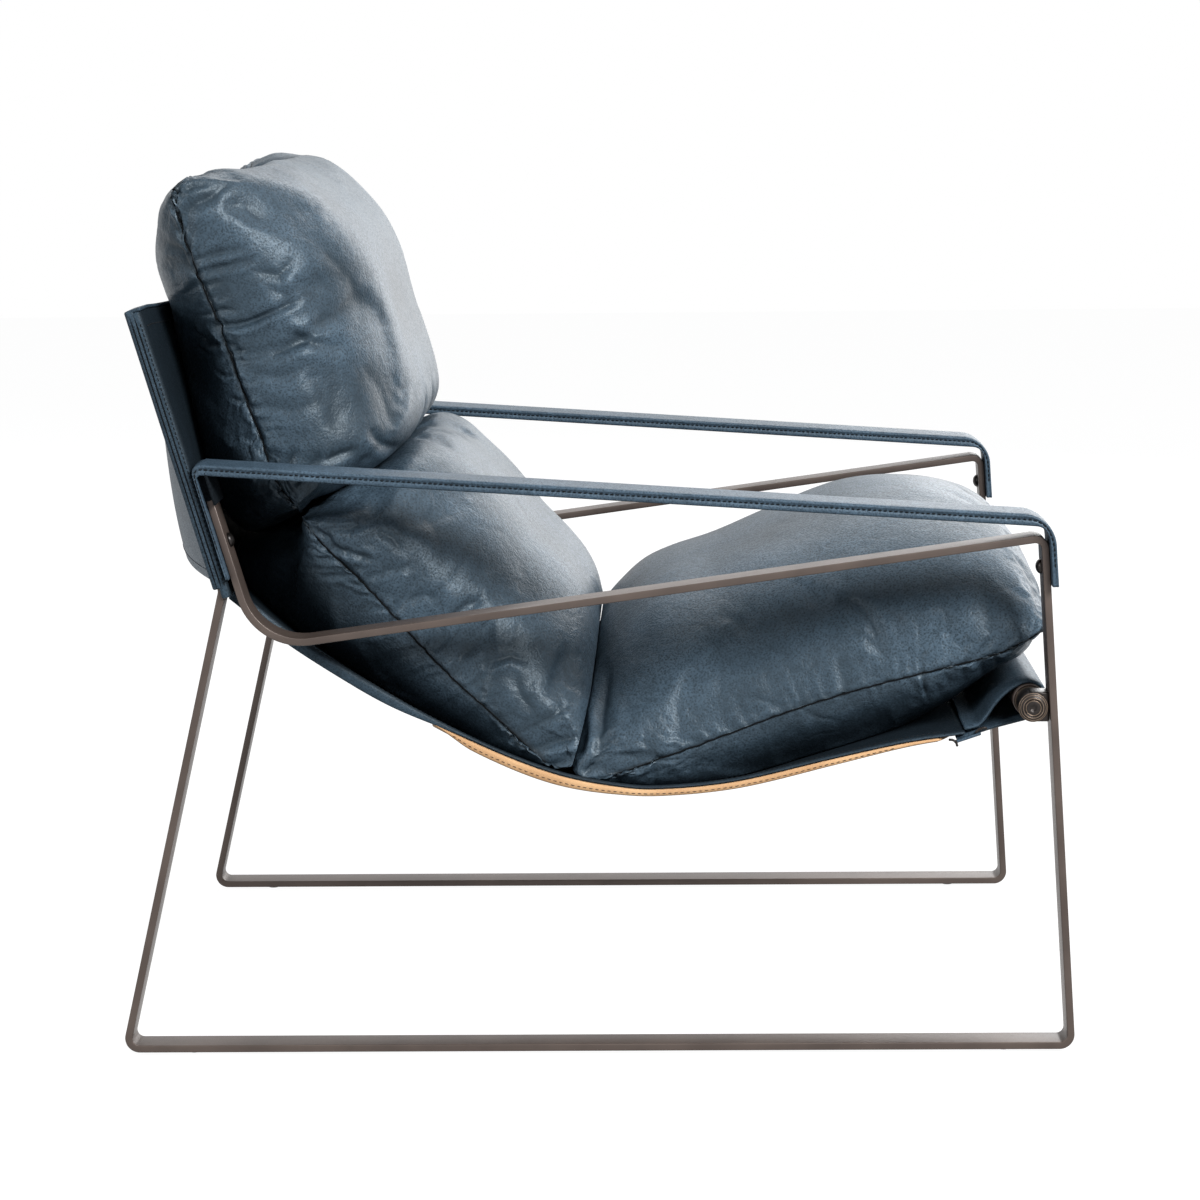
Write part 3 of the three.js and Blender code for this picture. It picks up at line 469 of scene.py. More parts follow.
# %% Side frames
def rounded_section(wide, thick, radius, steps=4):
    """A closed loop of (across, out) places round a rectangle whose corners are quarter circles."""
    loop = []
    for k, (a, b) in enumerate(((1, 1), (-1, 1), (-1, -1), (1, -1))):
        angles = np.radians(90 * k) + np.linspace(0, np.pi / 2, steps + 1)
        centre = np.array([a * (wide / 2 - radius), b * (thick / 2 - radius)])
        loop.append(centre + radius * np.stack([np.cos(angles), np.sin(angles)], 1))
    return np.concatenate(loop)


def path_frames(path):
    """Tangents of a side-view path by central differences, and the normals to their left."""
    way = unit(np.gradient(path, axis=0))
    return way, np.stack([-way[:, 1], way[:, 0]], 1)


def carried(path, section, x, ease=0.8 * mm):
    """Point = path + x axis * across + normal * out; the sections shrink at both ends to ease the edges."""
    way, normal = path_frames(path)
    wide, thick = np.ptp(section, axis=0)
    rows = []
    steps = ((0, None), (0, ease), (ease * 0.3, ease * 0.3), (ease, 0))
    stops = [(path[0] + way[0] * shift, 0, inset) for shift, inset in steps]
    stops += [(path[k], k, 0) for k in range(1, len(path) - 1)]
    stops += [(path[-1] - way[-1] * shift, -1, inset) for shift, inset in steps[::-1]]
    for place, k, inset in stops:
        share = np.zeros(2) if inset is None else 1 - 2 * inset / np.array([wide, thick])
        loop = section * share
        yz = place + normal[k] * loop[:, 1:2]
        rows.append(np.column_stack([x + loop[:, 0], yz]))
    return np.array(rows)


frame_path = rounded_path(
    [
        (*by_upright(arm_run_off, 512 * mm), 0),
        (*by_upright(arm_run_off, 364 * mm), 54 * mm),
        (*arm_corner, 9 * mm),
        (*front_foot, 9.75 * mm),
        (*rear_foot, 9.75 * mm),
        (*knee, 14 * mm),
        (*upright_top, 0),
    ]
)
bar = carried(frame_path, rounded_section(bar_wide, bar_thick, 0.9 * mm), bar_x)
for side, grid in (("left", bar), ("right", mirrored(bar))):
    piece = mesh_piece(f"bent_bar_{side}", *joined([grid]), bronze_paint, "frame", "frame_paint")
    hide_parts(f"side_frame_{side}")
print("each bent bar has", len(frame_path), "places on its path")

# %% [markdown]
# Turned parts, such as the tube, the caps, bolts, screws and glides, are a profile spun about an axis.

# %% Turned parts
def turned(profile, start, way, turns=64):
    """Point = start + way * height + radius * (cos, sin) in the plane square to the way."""
    way = unit(np.asarray(way, float))
    side = unit(np.cross(way, [0.31, 0.52, 0.8]))
    other = np.cross(way, side)
    angles = np.linspace(0, 2 * np.pi, turns, endpoint=False)
    ring = np.cos(angles)[:, None] * side + np.sin(angles)[:, None] * other
    profile = np.asarray(profile, float)
    return np.asarray(start) + profile[:, None, 1:2] * way + profile[:, None, 0:1] * ring[None]


def softened(profile, radius):
    """The profile with each inner corner replaced by two places a radius away, so that rims catch light."""
    profile = np.asarray(profile, float)
    out = [profile[0]]
    for before, here, after in zip(profile[:-2], profile[1:-1], profile[2:]):
        for other in (before, after):
            leg = other - here
            out.append(here + leg * min(0.45, radius / max(np.linalg.norm(leg), 1e-9)))
    return np.array(out + [profile[-1]])


def at_x(x, yz):
    """A side-view place, or a line of them, put at x."""
    yz = np.asarray(yz, float)
    return np.concatenate([np.full((*yz.shape[:-1], 1), x), yz], axis=-1)


along_x = np.array([1.0, 0, 0])
tube_end, boss_in = 291 * mm, 279 * mm


def on_both_sides(name, grids, material, slot, stands_for):
    """The same turned or carried grids on the left and mirrored on the right."""
    for side in ("left", "right"):
        turned_grids = grids if side == "left" else [mirrored(g) for g in grids]
        piece = mesh_piece(f"{name}_{side}", *joined(turned_grids), material, "frame", slot)
        if stands_for:
            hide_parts(f"{stands_for}_{side}")


tube_profile = softened(places("12.4 0  14 0  14 582  12.4 582  12.4 0"), 0.3 * mm)
tube_grid = turned(tube_profile, at_x(-tube_end, tube_spot), along_x)
tube = mesh_piece("tube_across_front", *joined([tube_grid]), bronze_paint, "frame", "frame_paint")
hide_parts("front_tube")

cap_steps = "4.4 0  12.5 0  12.5 1.7  11 1.7  11 3.4  8.85 3.4  8.85 5  7.25 5  7.25 1.8  4.4 1.8  4.4 0"
cap_profile = softened(places(cap_steps), 0.35 * mm)
cap_grid = turned(cap_profile, at_x(326 * mm, tube_spot), along_x)
on_both_sides("stepped_cap", [cap_grid], dark_metal, "dark_fitting", "tube_cap")


def hex_socket_bolt(base, tall, radius, socket, depth):
    """A round head with a six-sided hollow, as a spun grid whose hollow rows are pulled to a hexagon."""
    turns = 72
    shank, shank_end = 4 * mm, -14 * mm
    outline = [(0, shank_end), (shank, shank_end), (shank, 0), (radius, 0), (radius, tall)]
    outline += [(socket, tall), (socket, tall - depth), (0, tall - depth)]
    profile = softened(outline, 0.3 * mm)
    grid = turned(profile, base, along_x, turns)
    angles = np.linspace(0, 2 * np.pi, turns, endpoint=False)
    hexagon = np.cos(np.pi / 6) / np.cos((angles % (np.pi / 3)) - np.pi / 6)
    hollow = (profile[:, 1] > 0) & (profile[:, 0] < socket * 1.12) & (profile[:, 0] > 0)
    for k in np.nonzero(hollow)[0]:
        grid[k, :, 1:] = tube_spot + (grid[k, :, 1:] - tube_spot) * hexagon[:, None]
    return grid


bolt_grid = hex_socket_bolt(at_x(328.1 * mm, tube_spot), 2.7 * mm, 6.5 * mm, 2.9 * mm, 1.8 * mm)
on_both_sides("socket_bolt", [bolt_grid], dark_metal, "dark_fitting", "tube_bolt")

boss_profile = softened(places("4.4 0  12 0  12 46.7  4.4 46.7  4.4 0"), 0.5 * mm)
boss_grid = turned(boss_profile, at_x(boss_in, tube_spot), along_x)
ear_path = np.array([by_leg(-bar_thick / 2 - gap, 308 * mm), tube_spot + [2 * mm, 0]])
ear_grid = carried(ear_path, rounded_section(22 * mm, 26 * mm, 1.2 * mm), bar_x)
on_both_sides("tube_carrier", [boss_grid, ear_grid], dark_metal, "frame_paint", "tube_bracket")


def highlight_ring(radius, x, thick=0.35 * mm):
    """A thin torus round the tube's axis on the rim of a step, in pale bronze: a painted highlight."""
    angles = np.linspace(0, 2 * np.pi, 9)
    profile = np.column_stack([radius + thick * np.cos(angles), thick * np.sin(angles)])
    return turned(profile, at_x(x, tube_spot), along_x)


# Painted highlights: pale rings on the rims of the tube's end and the cap's steps.
rims = [(12.0, 293.0), (12.35, 327.6), (10.9, 329.3), (8.75, 331.0), (6.5, 330.8)]
on_both_sides(
    "highlight_rim", [highlight_ring(radius * mm, x * mm) for radius, x in rims], highlight_bronze, "dark_fitting", None
)

# %% [markdown]
# The strap's screw and the arm's bolt have domed heads: a quarter ellipse spun about the screw's axis. The
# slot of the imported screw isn't drawn here.

# %% Screws and glides
def domed_screw(spot, way, shank, head=6.5 * mm, tall=4.6 * mm):
    """Profile = quarter ellipse for the dome, then the shank; the dome starts at the spot."""
    angles = np.linspace(0, np.pi / 2, 10)
    dome = np.column_stack([head * np.sin(angles), tall * (1 - np.cos(angles))])
    thread, under = 2.5 * mm, tall + 0.01 * mm
    rest = np.array([(head, under), (thread, under), (thread, tall + shank), (0, tall + shank)])
    return turned(np.concatenate([dome, rest]), spot, way, 40)


screw_tall = 4.6 * mm
leg_spot = by_leg(0, 430 * mm) - leg_front * (bar_thick / 2 + gap + screw_tall)
strap_screw = domed_screw(at_x(bar_x, leg_spot), [0, *leg_front], 10 * mm)
on_both_sides("strap_screw_head", [strap_screw], dark_metal, "dark_fitting", "strap_screw")
run_spot = by_upright(0, 453 * mm) + upright_front * (arm_run_off + bar_thick / 2 + gap + screw_tall)
arm_screw = domed_screw(at_x(bar_x, run_spot), [0, *-upright_front], 20 * mm)
on_both_sides("arm_bolt_head", [arm_screw], dark_metal, "dark_fitting", "arm_bolt")

glide_profile = softened(places("0 0  5.7 0  6.5 0.8  6.5 2.7  2.5 2.7  2.5 8.8  0 8.8"), 0.2 * mm)
for end, y in (("front", -358 * mm), ("rear", 358 * mm)):
    glide_grid = turned(glide_profile, (bar_x, y, 0), (0, 0, 1), 40)
    on_both_sides(f"{end}_glide_button", [glide_grid], black_plastic, "glide_plastic", f"{end}_glide")

# %% [markdown]
# Leather sheets have a middle surface and a thickness. The edge of a sewn sheet shows its two layers, so
# the rim is drawn as two small half circles, one for each layer.

# %% Leather sheets
def sheet_loops(middle, thick, lobes=2, rim_steps=4):
    """Each row becomes a closed loop: top skin, rim, under skin, rim. Skins lie half a thickness along the
    normal, and the rim bulges outwards by a quarter thickness times the size of the sine of its angle."""
    down = np.gradient(middle, axis=0)
    across = np.gradient(middle, axis=1)
    normal = unit(np.cross(down, across))
    out = unit(across)

    def loops(middle, normal, out, half, bulge):
        top, under = middle + normal * half, middle - normal * half
        share = np.linspace(0, 1, lobes * rim_steps + 1)[1:-1]
        lobe = np.abs(np.sin(np.pi * lobes * share)) * bulge
        level = half * (1 - 2 * share)
        right = middle[:, -1:] + normal[:, -1:] * level[None, :, None] + out[:, -1:] * lobe[None, :, None]
        left = middle[:, :1] - normal[:, :1] * level[None, :, None] - out[:, :1] * lobe[None, :, None]
        return np.concatenate([top, right, under[:, ::-1], left], axis=1)

    half = thick / 2
    rows = [loops(middle, normal, out, half, half / lobes)]
    for end, sign in ((0, -1), (-1, 1)):
        way = unit(down[[end]])
        extra = []
        for angle in np.radians([30, 60, 90]):
            shifted = middle[[end]] + sign * way * half * np.sin(angle)
            thinner = half * np.cos(angle)
            extra.append(loops(shifted, normal[[end]], out[[end]], thinner, half / lobes * np.cos(angle)))
        extra = extra if sign > 0 else extra[::-1]
        rows = [*extra, *rows] if sign < 0 else [*rows, *extra]
    return np.concatenate(rows)


def spline_places(shares, places):
    """A Catmull-Rom curve through the places, at shares from 0 to 1 counted by place."""
    places = np.asarray(places, float)
    padded = np.concatenate([2 * places[:1] - places[1:2], places, 2 * places[-1:] - places[-2:-1]])
    spot = np.clip(np.asarray(shares), 0, 1) * (len(places) - 1)
    k = np.minimum(spot.astype(int), len(places) - 2)
    t = (spot - k).reshape(spot.shape + (1,) * (places.ndim - 1))
    a, b, c, d = (padded[k + shift] for shift in range(4))
    return 0.5 * (2 * b + (c - a) * t + (2 * a - 5 * b + 4 * c - d) * t**2 + (3 * b - a - 3 * c + d) * t**3)


def even_shares(places, count):
    """Shares that step a Catmull-Rom curve in equal lengths."""
    fine = np.linspace(0, 1, 2000)
    line = spline_places(fine, places)
    length = run_along(line)
    return np.interp(np.linspace(0, length[-1], count), length, fine)


def smoothstep(value, low, high):
    """0 below low, 1 above high, and 3t^2 - 2t^3 between."""
    t = np.clip((value - low) / (high - low), 0, 1)
    return t * t * (3 - 2 * t)


sling_half = 290 * mm
sleeve_top, top_sag = by_upright(sleeve_off, 656 * mm), 8 * mm
sleeve_foot = by_upright(sleeve_off, 411.8 * mm)
seat_rear = by_upright(sleeve_off, 409 * mm)
pocket_seam = tube_spot + np.array([57, -27]) * mm
seat_fall = 232 * mm
seat_edge = np.array(
    [
        (seat_rear[0] + run * (pocket_seam[0] - seat_rear[0]), seat_fall + fall * (seat_rear[1] - seat_fall))
        for run, fall in (
            (0, 1), (0.083, 0.76), (0.195, 0.5), (0.275, 0.335), (0.362, 0.182), (0.445, 0.07),
            (0.523, 0.013), (0.585, 0), (0.688, 0.037), (0.815, 0.143), (0.92, 0.225), (1, 0.265),
        )
    ]
)


def bow(x, half):
    """1 in the middle and 0 at the sides: 1 - (x / half)^2."""
    return 1 - np.minimum(1, np.abs(x) / half) ** 2


def seat_surface(share, x, depth=0.0):
    """Edge curve moved down by depth, square to itself, and by sag * bow(x), at first the sleeve's way."""
    share, x = np.broadcast_arrays(np.asarray(share, float), np.asarray(x, float))
    yz = spline_places(share, seat_edge)
    way = unit(spline_places(share + 0.002, seat_edge) - spline_places(share - 0.002, seat_edge))
    inward = np.stack([way[..., 1], -way[..., 0]], -1)
    sag = (26 + 14 * smoothstep(share, 0, 0.45)) * mm * (1 - smoothstep(share, 0.62, 1))
    from_sleeve = smoothstep(share, 0, 0.16)[..., None]
    sag_way = unit(upright_front * (1 - from_sleeve) + inward * from_sleeve)
    yz = yz - inward * depth - sag_way * (sag * bow(x, sling_half))[..., None]
    return np.concatenate([x[..., None], yz], -1)


def sleeve_surface(share, x):
    """From the sleeve's top to its foot in a line, moved back by the sag that grows downwards."""
    share, x = np.broadcast_arrays(np.asarray(share, float), np.asarray(x, float))
    sag = 26 * mm * smoothstep(share, 0.12, 1) * bow(x, sling_half)
    yz = sleeve_top + (sleeve_foot - sleeve_top) * share[..., None] - upright_front * sag[..., None]
    yz = yz - upright_way * (top_sag * (1 - smoothstep(share, 0, 0.25)) * bow(x, sling_half))[..., None]
    return np.concatenate([x[..., None], yz], -1)


print("the seat's edge falls to", round(float(seat_edge[:, 1].min()) / mm), "mm above the floor")

# %% [markdown]
# The hammock is one hide: the front face of the back sleeve, folded round the uprights at its sides, and
# the seat that narrows to pass between the arms. In the photograph the side that faces the cushions is
# nearly black, so painted shade darkens that skin, through an attribute that the leather's material reads.

# %% Sleeve front and seat of the sling
columns = np.linspace(-1, 1, 73)
sleeve_half = outer_x + gap + leather_thick / 2


def frame_sheet(name, layers, material=sling_leather, slot="sling_leather", thick=leather_thick, lobes=1):
    """A piece on the frame made of the middle surfaces of its layers of leather."""
    grids = [sheet_loops(layer, thick, lobes) for layer in layers]
    return mesh_piece(name, *joined(grids), material, "frame", slot)


def lipped_rows(rows_at, shares, half, lip):
    """Rows of a face and its two side lips, which turn square round the uprights by the lip's length."""
    x = columns * half
    face = rows_at(shares[:, None], x[None])
    side = np.linspace(1, 0, 5)[:-1]
    turn = np.array([0, *upright_front]) * lip
    left = face[:, :1] + turn * side[None, :, None]
    right = face[:, -1:] + turn * side[::-1][None, :, None]
    return np.concatenate([left, face, right], axis=1)


sleeve_rows = lipped_rows(sleeve_surface, np.linspace(0, 1, 40), sleeve_half, gap / 2 - sleeve_off)
sleeve = frame_sheet("sleeve_front", [sleeve_rows])
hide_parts("sling")

seat_shares = np.linspace(0, 1, 130)
seat_rows = seat_surface(seat_shares[:, None], (columns * sling_half)[None])
hem_down = unit(seat_rows[:, :1] - seat_surface(seat_shares[:, None], np.array([[-sling_half]]), -1 * mm))
hem_down = hem_down * (8 * mm * (1 - smoothstep(seat_shares, 0.16, 0.34)) + 0.3 * mm)[:, None, None]
hem_steps = np.array([1.0, 0.66, 0.33])[None, :, None]
right_hem = seat_rows[:, :1] + hem_down * hem_steps
left_hem = seat_rows[:, -1:] + hem_down * hem_steps[:, ::-1]
seat_rows = np.concatenate([right_hem, seat_rows, left_hem], axis=1)
seat = frame_sheet("seat_hammock", [seat_rows], lobes=2)
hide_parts("sling")


def painted_shade_inside(piece, inward, share=0.85):
    """Nearly black painted shade on the skin facing the cushions: seam = share * smoothstep(normal . inward).
    """
    normals = np.empty(len(piece.data.vertices) * 3, np.float32)
    piece.data.vertex_normals.foreach_get("vector", normals)
    facing = normals.reshape(-1, 3) @ unit(np.asarray(inward, float))
    attribute(piece, "seam", share * smoothstep(facing, 0.15, 0.5))


# Painted shade on the sling's skins that face the cushions.
painted_shade_inside(sleeve, (0, *upright_front))
painted_shade_inside(seat, (0, -0.4, 0.9))


def measured(middle):
    """The flat width and length of a sheet's middle surface: its longest row and its longest column."""
    wide = np.linalg.norm(np.diff(middle, axis=1), axis=2).sum(1).max()
    long = np.linalg.norm(np.diff(middle, axis=0), axis=2).sum(0).max()
    return round(float(wide), 3), round(float(long), 3)


print("flat sizes of the sleeve and the seat", measured(sleeve_rows), measured(seat_rows))

# %% [markdown]
# At the front the hide goes over the tube, under it and back to a zip under the seat, so that the tube lies
# in a pocket. Its edge is slack behind the tube, which gives the pocket's end the shape of a comma.

# %% Pocket round the tube
pocket_half = 286 * mm
round_tube = np.radians(np.linspace(88, 262, 30))
over_tube = places(
    "-326 282  -336 284.4  -340.8 289  -344.8 294.5  -349 301  -353.4 306.6"
    "  -359.4 312.8  -366 318  -374 322.4"
)
to_zip = places("-376 290.2  -362 286.6  -350 283.4  -338 279.6  -328 276.2  -319 273.4")
pocket_line = np.concatenate(
    [
        spline_places(np.linspace(0, 1, 40), over_tube),
        tube_spot + 15.9 * mm * np.stack([np.cos(round_tube), np.sin(round_tube)], 1),
        spline_places(np.linspace(0, 1, 30), to_zip),
    ]
)
pocket_x = np.linspace(-pocket_half, pocket_half, 25)
pocket_rows = np.stack([at_x(x, pocket_line) for x in pocket_x], axis=1)
pocket = frame_sheet("tube_pocket", [pocket_rows])
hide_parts("sling")
tape_section = rounded_section(5 * mm, 2.4 * mm, 0.8 * mm)
pull_section = rounded_section(1.6 * mm, 2.2 * mm, 0.6 * mm)
zip_tab = carried(places("-315.6 270.2  -327 274  -339 278"), tape_section, 288 * mm)
rear_pull = places("-310.5 272.8  -314 272.6  -317 271  -318.4 266.6")
front_pull = places("-334 279  -337.4 282.2  -341.4 283.4  -344.6 282.4")
pulls = [carried(line, pull_section, 290 * mm) for line in (rear_pull, front_pull)]
on_both_sides("zip_tape", [zip_tab], strap_leather, "sling_leather", None)
on_both_sides("zip_pull", pulls, dark_metal, "dark_fitting", None)

# %% [markdown]
# Under the seat lies a lining of tan suede, sewn to the hide along its edges.

# %% Seat lining
lining_thick = 2.4 * mm
lining_start = 6 / 22
lining_shares = np.linspace(lining_start, 0.995, 110)
lining_depth = leather_thick / 2 + 0.6 * mm + lining_thick / 2
lining_half = sling_half - 30 * mm * smoothstep(lining_shares, 0.955, 1.0)[:, None]
lining_rows = seat_surface(lining_shares[:, None], columns[None] * lining_half, lining_depth)
lip_long = smoothstep(lining_shares, lining_start - 0.001, 0.33) * (1 - smoothstep(lining_shares, 0.76, 0.99))
lip_long *= (5.0 + 1.5 * np.cos(np.clip((lining_shares - 0.42) / 0.2, -1, 1) * np.pi)) * mm
lip_way = unit(lining_rows[:, :1] - seat_surface(lining_shares[:, None], np.array([[-sling_half]]), 0))
turned_down = lip_way * (lip_long[:, None, None] + 0.2 * mm) * hem_steps
lining_rows = np.concatenate(
    [lining_rows[:, :1] + turned_down, lining_rows, lining_rows[:, -1:] + turned_down[:, ::-1]], axis=1
)
lining = frame_sheet("suede_lining", [lining_rows], tan_suede, "tan_suede", lining_thick)
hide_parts("seat_lining")

# %% [markdown]
# The outer panel hangs down behind the back. It bulges, because the lower bar inside it is bowed to keep
# clear of the cushion.

# %% Outer back panel
panel_top, panel_hem = 655.7, 418


def panel_bow(z):
    """62 mm at the hem, easing to 0 at the frame's top as 1 - rise^1.6."""
    rise = np.clip((z - panel_hem * mm) / (230 * mm), 0, 1)
    return 62 * mm * (1 - rise**1.6)


def panel_surface(share, x):
    """Down from the frame's top to the hem, behind the uprights and moved back by the bow."""
    share, x = np.broadcast_arrays(np.asarray(share, float), np.asarray(x, float))
    z = panel_top * mm + share * (panel_hem - panel_top) * mm
    z = z - top_sag * (1 - smoothstep(share, 0, 0.25)) * bow(x, sling_half)
    start = knee - upright_front * sleeve_off
    yz = start + upright_way * ((z - start[1]) / upright_way[1])[..., None]
    yz = yz + np.stack([(panel_bow(z) * bow(x, inner_x)) / -upright_front[0], 0 * z], -1) * 0.96
    return np.concatenate([x[..., None], yz], -1)


panel_rows = lipped_rows(panel_surface, np.linspace(0, 1, 48), sleeve_half, sleeve_off - gap / 2)
top_edge = upright_top + upright_way * (gap + leather_thick / 2 + 8 * mm)
flap_rows = []
for off in np.linspace(sleeve_off + leather_thick / 2, -sleeve_off + 0.5 * mm, 12):
    past = np.clip((-off + sleeve_off - 4 * mm) / (4 * mm) - 1, 0, 0.98)
    rounding = 4 * mm * (1 - np.sqrt(1 - past**2))
    place = top_edge + upright_front * off - upright_way * rounding
    place = place - upright_way * (top_sag * bow(panel_rows[0, :, 0], sling_half))[:, None]
    flap_rows.append(np.column_stack([panel_rows[0, :, 0], place]))
flap_grid = np.array(flap_rows)[:, 4:-4]
panel = frame_sheet("outer_panel", [panel_rows, flap_grid])
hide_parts("back_panel")

# %% [markdown]
# The sleeve is sewn shut beside each upright, across its top and along its hem, and the seat's edges are
# sewn to the lining. The thread on the blue leather is navy and the thread on the suede is brown.

# %% Stitch rows of the sling
def corded(line, radius, sides=6):
    """A round cord along a line: line + radius * (cos, sin) in the plane square to its way."""
    way = unit(np.gradient(line, axis=0))
    side = unit(np.cross(way, [1.0, 0.2, 0.1]))
    other = np.cross(way, side)
    angles = np.linspace(0, 2 * np.pi, sides, endpoint=False)
    thick = radius * np.minimum(1, np.minimum(np.arange(len(line)), np.arange(len(line))[::-1]) / 3)
    ring = side[:, None] * np.cos(angles)[:, None] + other[:, None] * np.sin(angles)[:, None]
    return line[:, None] + ring * thick[:, None, None]


sleeve_rows_sewn, layer_lines = [], []
outside = sleeve_half + leather_thick / 2
for side in (-1, 1):
    line = np.linspace(by_upright(4.2 * mm, 650 * mm), by_upright(4.2 * mm, 418 * mm), 60)
    sleeve_rows_sewn.append(stitches(at_x(side * outside, line), (side, 0, 0), 4.4 * mm, 3.1 * mm))
    for off in (-2.9 * mm, 0.9 * mm):
        line = np.linspace(by_upright(off, 655 * mm), by_upright(off, 415 * mm), 60)
        layer_lines.append(corded(at_x(side * outside, line), 0.6 * mm))
across_x = np.linspace(-0.97, 0.97, 120) * sleeve_half
for share in (0.05, 0.975):
    front_row = sleeve_surface(np.full(120, share), across_x)
    front_row[:, 1:] += upright_front * leather_thick / 2
    sleeve_rows_sewn.append(stitches(front_row, (0, *upright_front)))
for share in (0.045, 0.965):
    back_row = panel_surface(np.full(120, share), across_x)
    back_row[:, 1:] -= upright_front * leather_thick / 2
    sleeve_rows_sewn.append(stitches(back_row, (0, *-upright_front)))
sewn_rows("sleeve_stitches", sleeve_rows_sewn, navy_thread)
# Painted shade: dark lines between the sleeve's layers of leather.
mesh_piece("sleeve_layer_lines", *joined(layer_lines), painted_seam_shade, "frame", "sling_leather")

hem_rows, lining_stitch_rows = [], []
for side in (-1, 1):
    hem_line = seat_surface(np.linspace(0.03, 0.97, 200), np.full(200, side * (sling_half - 7 * mm)))
    seat_up = unit(np.cross(np.gradient(hem_line, axis=0), [1.0, 0, 0]))
    seat_up *= np.sign(seat_up[:, 2:3])
    hem_rows.append(stitches(hem_line + seat_up * leather_thick / 2, seat_up))
    lip_line = lining_rows[3:-14, 1 if side < 0 else -2] + np.array([side * lining_thick / 2, 0, 0])
    lining_stitch_rows.append(stitches(lip_line, (side, 0, 0), 5.4 * mm, 3.6 * mm, 0.42 * mm))
sewn_rows("seat_hem_stitches", hem_rows, navy_thread)
sewn_rows("lining_stitches", lining_stitch_rows, brown_thread)

# %% [markdown]
# Each arm is a padded leather strap: thick over the arm, thin where it turns down at both ends.

# %% Arm straps
strap_half = 25 * mm


def strap_line(tail, rear, rear_radius, drop, front, front_radius):
    """A side-view line of the strap: up along the upright, over the arm and down in front of the leg."""
    return rounded_path(
        [
            (*by_upright(tail, 426 * mm), 0),
            (*by_upright(tail, rear * mm), rear_radius * mm),
            (*by_leg(drop, front * mm), front_radius * mm),
            (*by_leg(drop, 415 * mm), 0),
        ]
    )


def stations(line, tail, drop):
    """Places at even steps of a line's tail, arm and drop, so that two lines step together."""
    length = run_along(line)
    total = length[-1]
    stretches = ((0, tail, 24), (tail, total - drop, 150), (total - drop, total, 30))
    spots = np.concatenate([np.linspace(a, b, n, endpoint=False) for a, b, n in stretches] + [[total]])
    return np.stack([np.interp(spots, length, line[:, k]) for k in (0, 1)], 1)


drop_in = bar_thick / 2 + gap
upper_line = strap_line(tail_off - 1.5 * mm, 527, 7, drop_in + 5.6 * mm, 477, 30)
lower_line = strap_line(tail_off + 1.5 * mm, 517, 1.5, drop_in, 467, 13)
upper_even = stations(upper_line, 104 * mm, 84 * mm)
lower_even = stations(lower_line, 92 * mm, 62 * mm)
print("the strap steps through", len(upper_even), "places")

side_level = np.array([-0.5, -0.46, -0.38, -0.25, -0.12, -0.05, 0.05, 0.15, 0.22, 0.32, 0.41, 0.47, 0.5])
side_inset = np.array([1.3, 0.4, 0.0, 0.0, 0.1, 0.8, 0.9, 0.8, 0.1, 0.1, 0.6, 1.6, 3.2]) * mm


def strap_section(thick):
    """A loop whose sides bulge in two layers with a sewn groove between them, under a crowned top."""
    inset = side_inset * min(1, thick / (8 * mm))
    right = np.column_stack([strap_half - inset, side_level * thick])
    top = np.linspace(1, -1, 9)[1:-1] * (strap_half - inset[-1])
    crown = thick / 2 + 0.5 * mm * (1 - (top / strap_half) ** 2) * min(1, thick / (8 * mm))
    left = right[::-1] * np.array([-1, 1])
    under = np.linspace(-1, 1, 7)[1:-1] * (strap_half - inset[0])
    return np.concatenate(
        [right, np.column_stack([top, crown]), left, np.column_stack([under, np.full(5, -thick / 2)])]
    )


def strap_loops(upper, lower):
    """For each station, the strap's section set between its lower and upper line."""
    thick = np.linalg.norm(upper - lower, axis=1)
    way = unit(upper - lower)
    middle = (upper + lower) / 2
    loops = []
    for k in range(len(upper)):
        loop = strap_section(thick[k])
        loops.append(np.column_stack([bar_x + loop[:, 0], middle[k] + way[k] * loop[:, 1:2]]))
    first, last = loops[0].mean(0), loops[-1].mean(0)
    return np.array([np.tile(first, (len(loops[0]), 1)), *loops, np.tile(last, (len(loops[0]), 1))])


flap_path = np.array([by_upright(flap_off, 520 * mm), by_upright(flap_off, 491 * mm)])
flap_path = flap_path[0] + (flap_path[1] - flap_path[0]) * np.linspace(0, 1, 8)[:, None]
flap_piece = carried(flap_path, rounded_section(2 * strap_half, 2.5 * mm, 1.0 * mm), bar_x)
hood_path = np.linspace(by_upright(arm_run_off, 517 * mm), by_upright(arm_run_off, 494 * mm), 8)
strap = strap_loops(upper_even, lower_even)
on_both_sides("padded_strap", [strap], strap_leather, "sling_leather", "arm_strap")
hood_piece = carried(hood_path, rounded_section(bar_wide + 3.4 * mm, bar_thick + 3 * mm, 1.8 * mm), bar_x)
# The tongue and hood are near black as painted shade under the strap.
on_both_sides("strap_tongue", [flap_piece, hood_piece], painted_shade_leather, "sling_leather", None)

strap_rows = []
level = lower_even + (upper_even - lower_even) * 0.55
for side in (-1, 1):
    for edge_side in (-1, 1):
        row = at_x(side * bar_x + edge_side * (strap_half - 0.35 * mm), level)[6:-6]
        strap_rows.append(stitches(row, (edge_side, 0, 0), 4.6 * mm, 3.6 * mm, 0.55 * mm))
sewn_rows("strap_stitches", strap_rows, navy_thread)

# %% [markdown]
# The pad has three chambers. Each is drawn by three side-view curves: the front of its middle, the back
# of its middle and the seam at its sides. Across the pad, the skins swell from the seam to the middle.

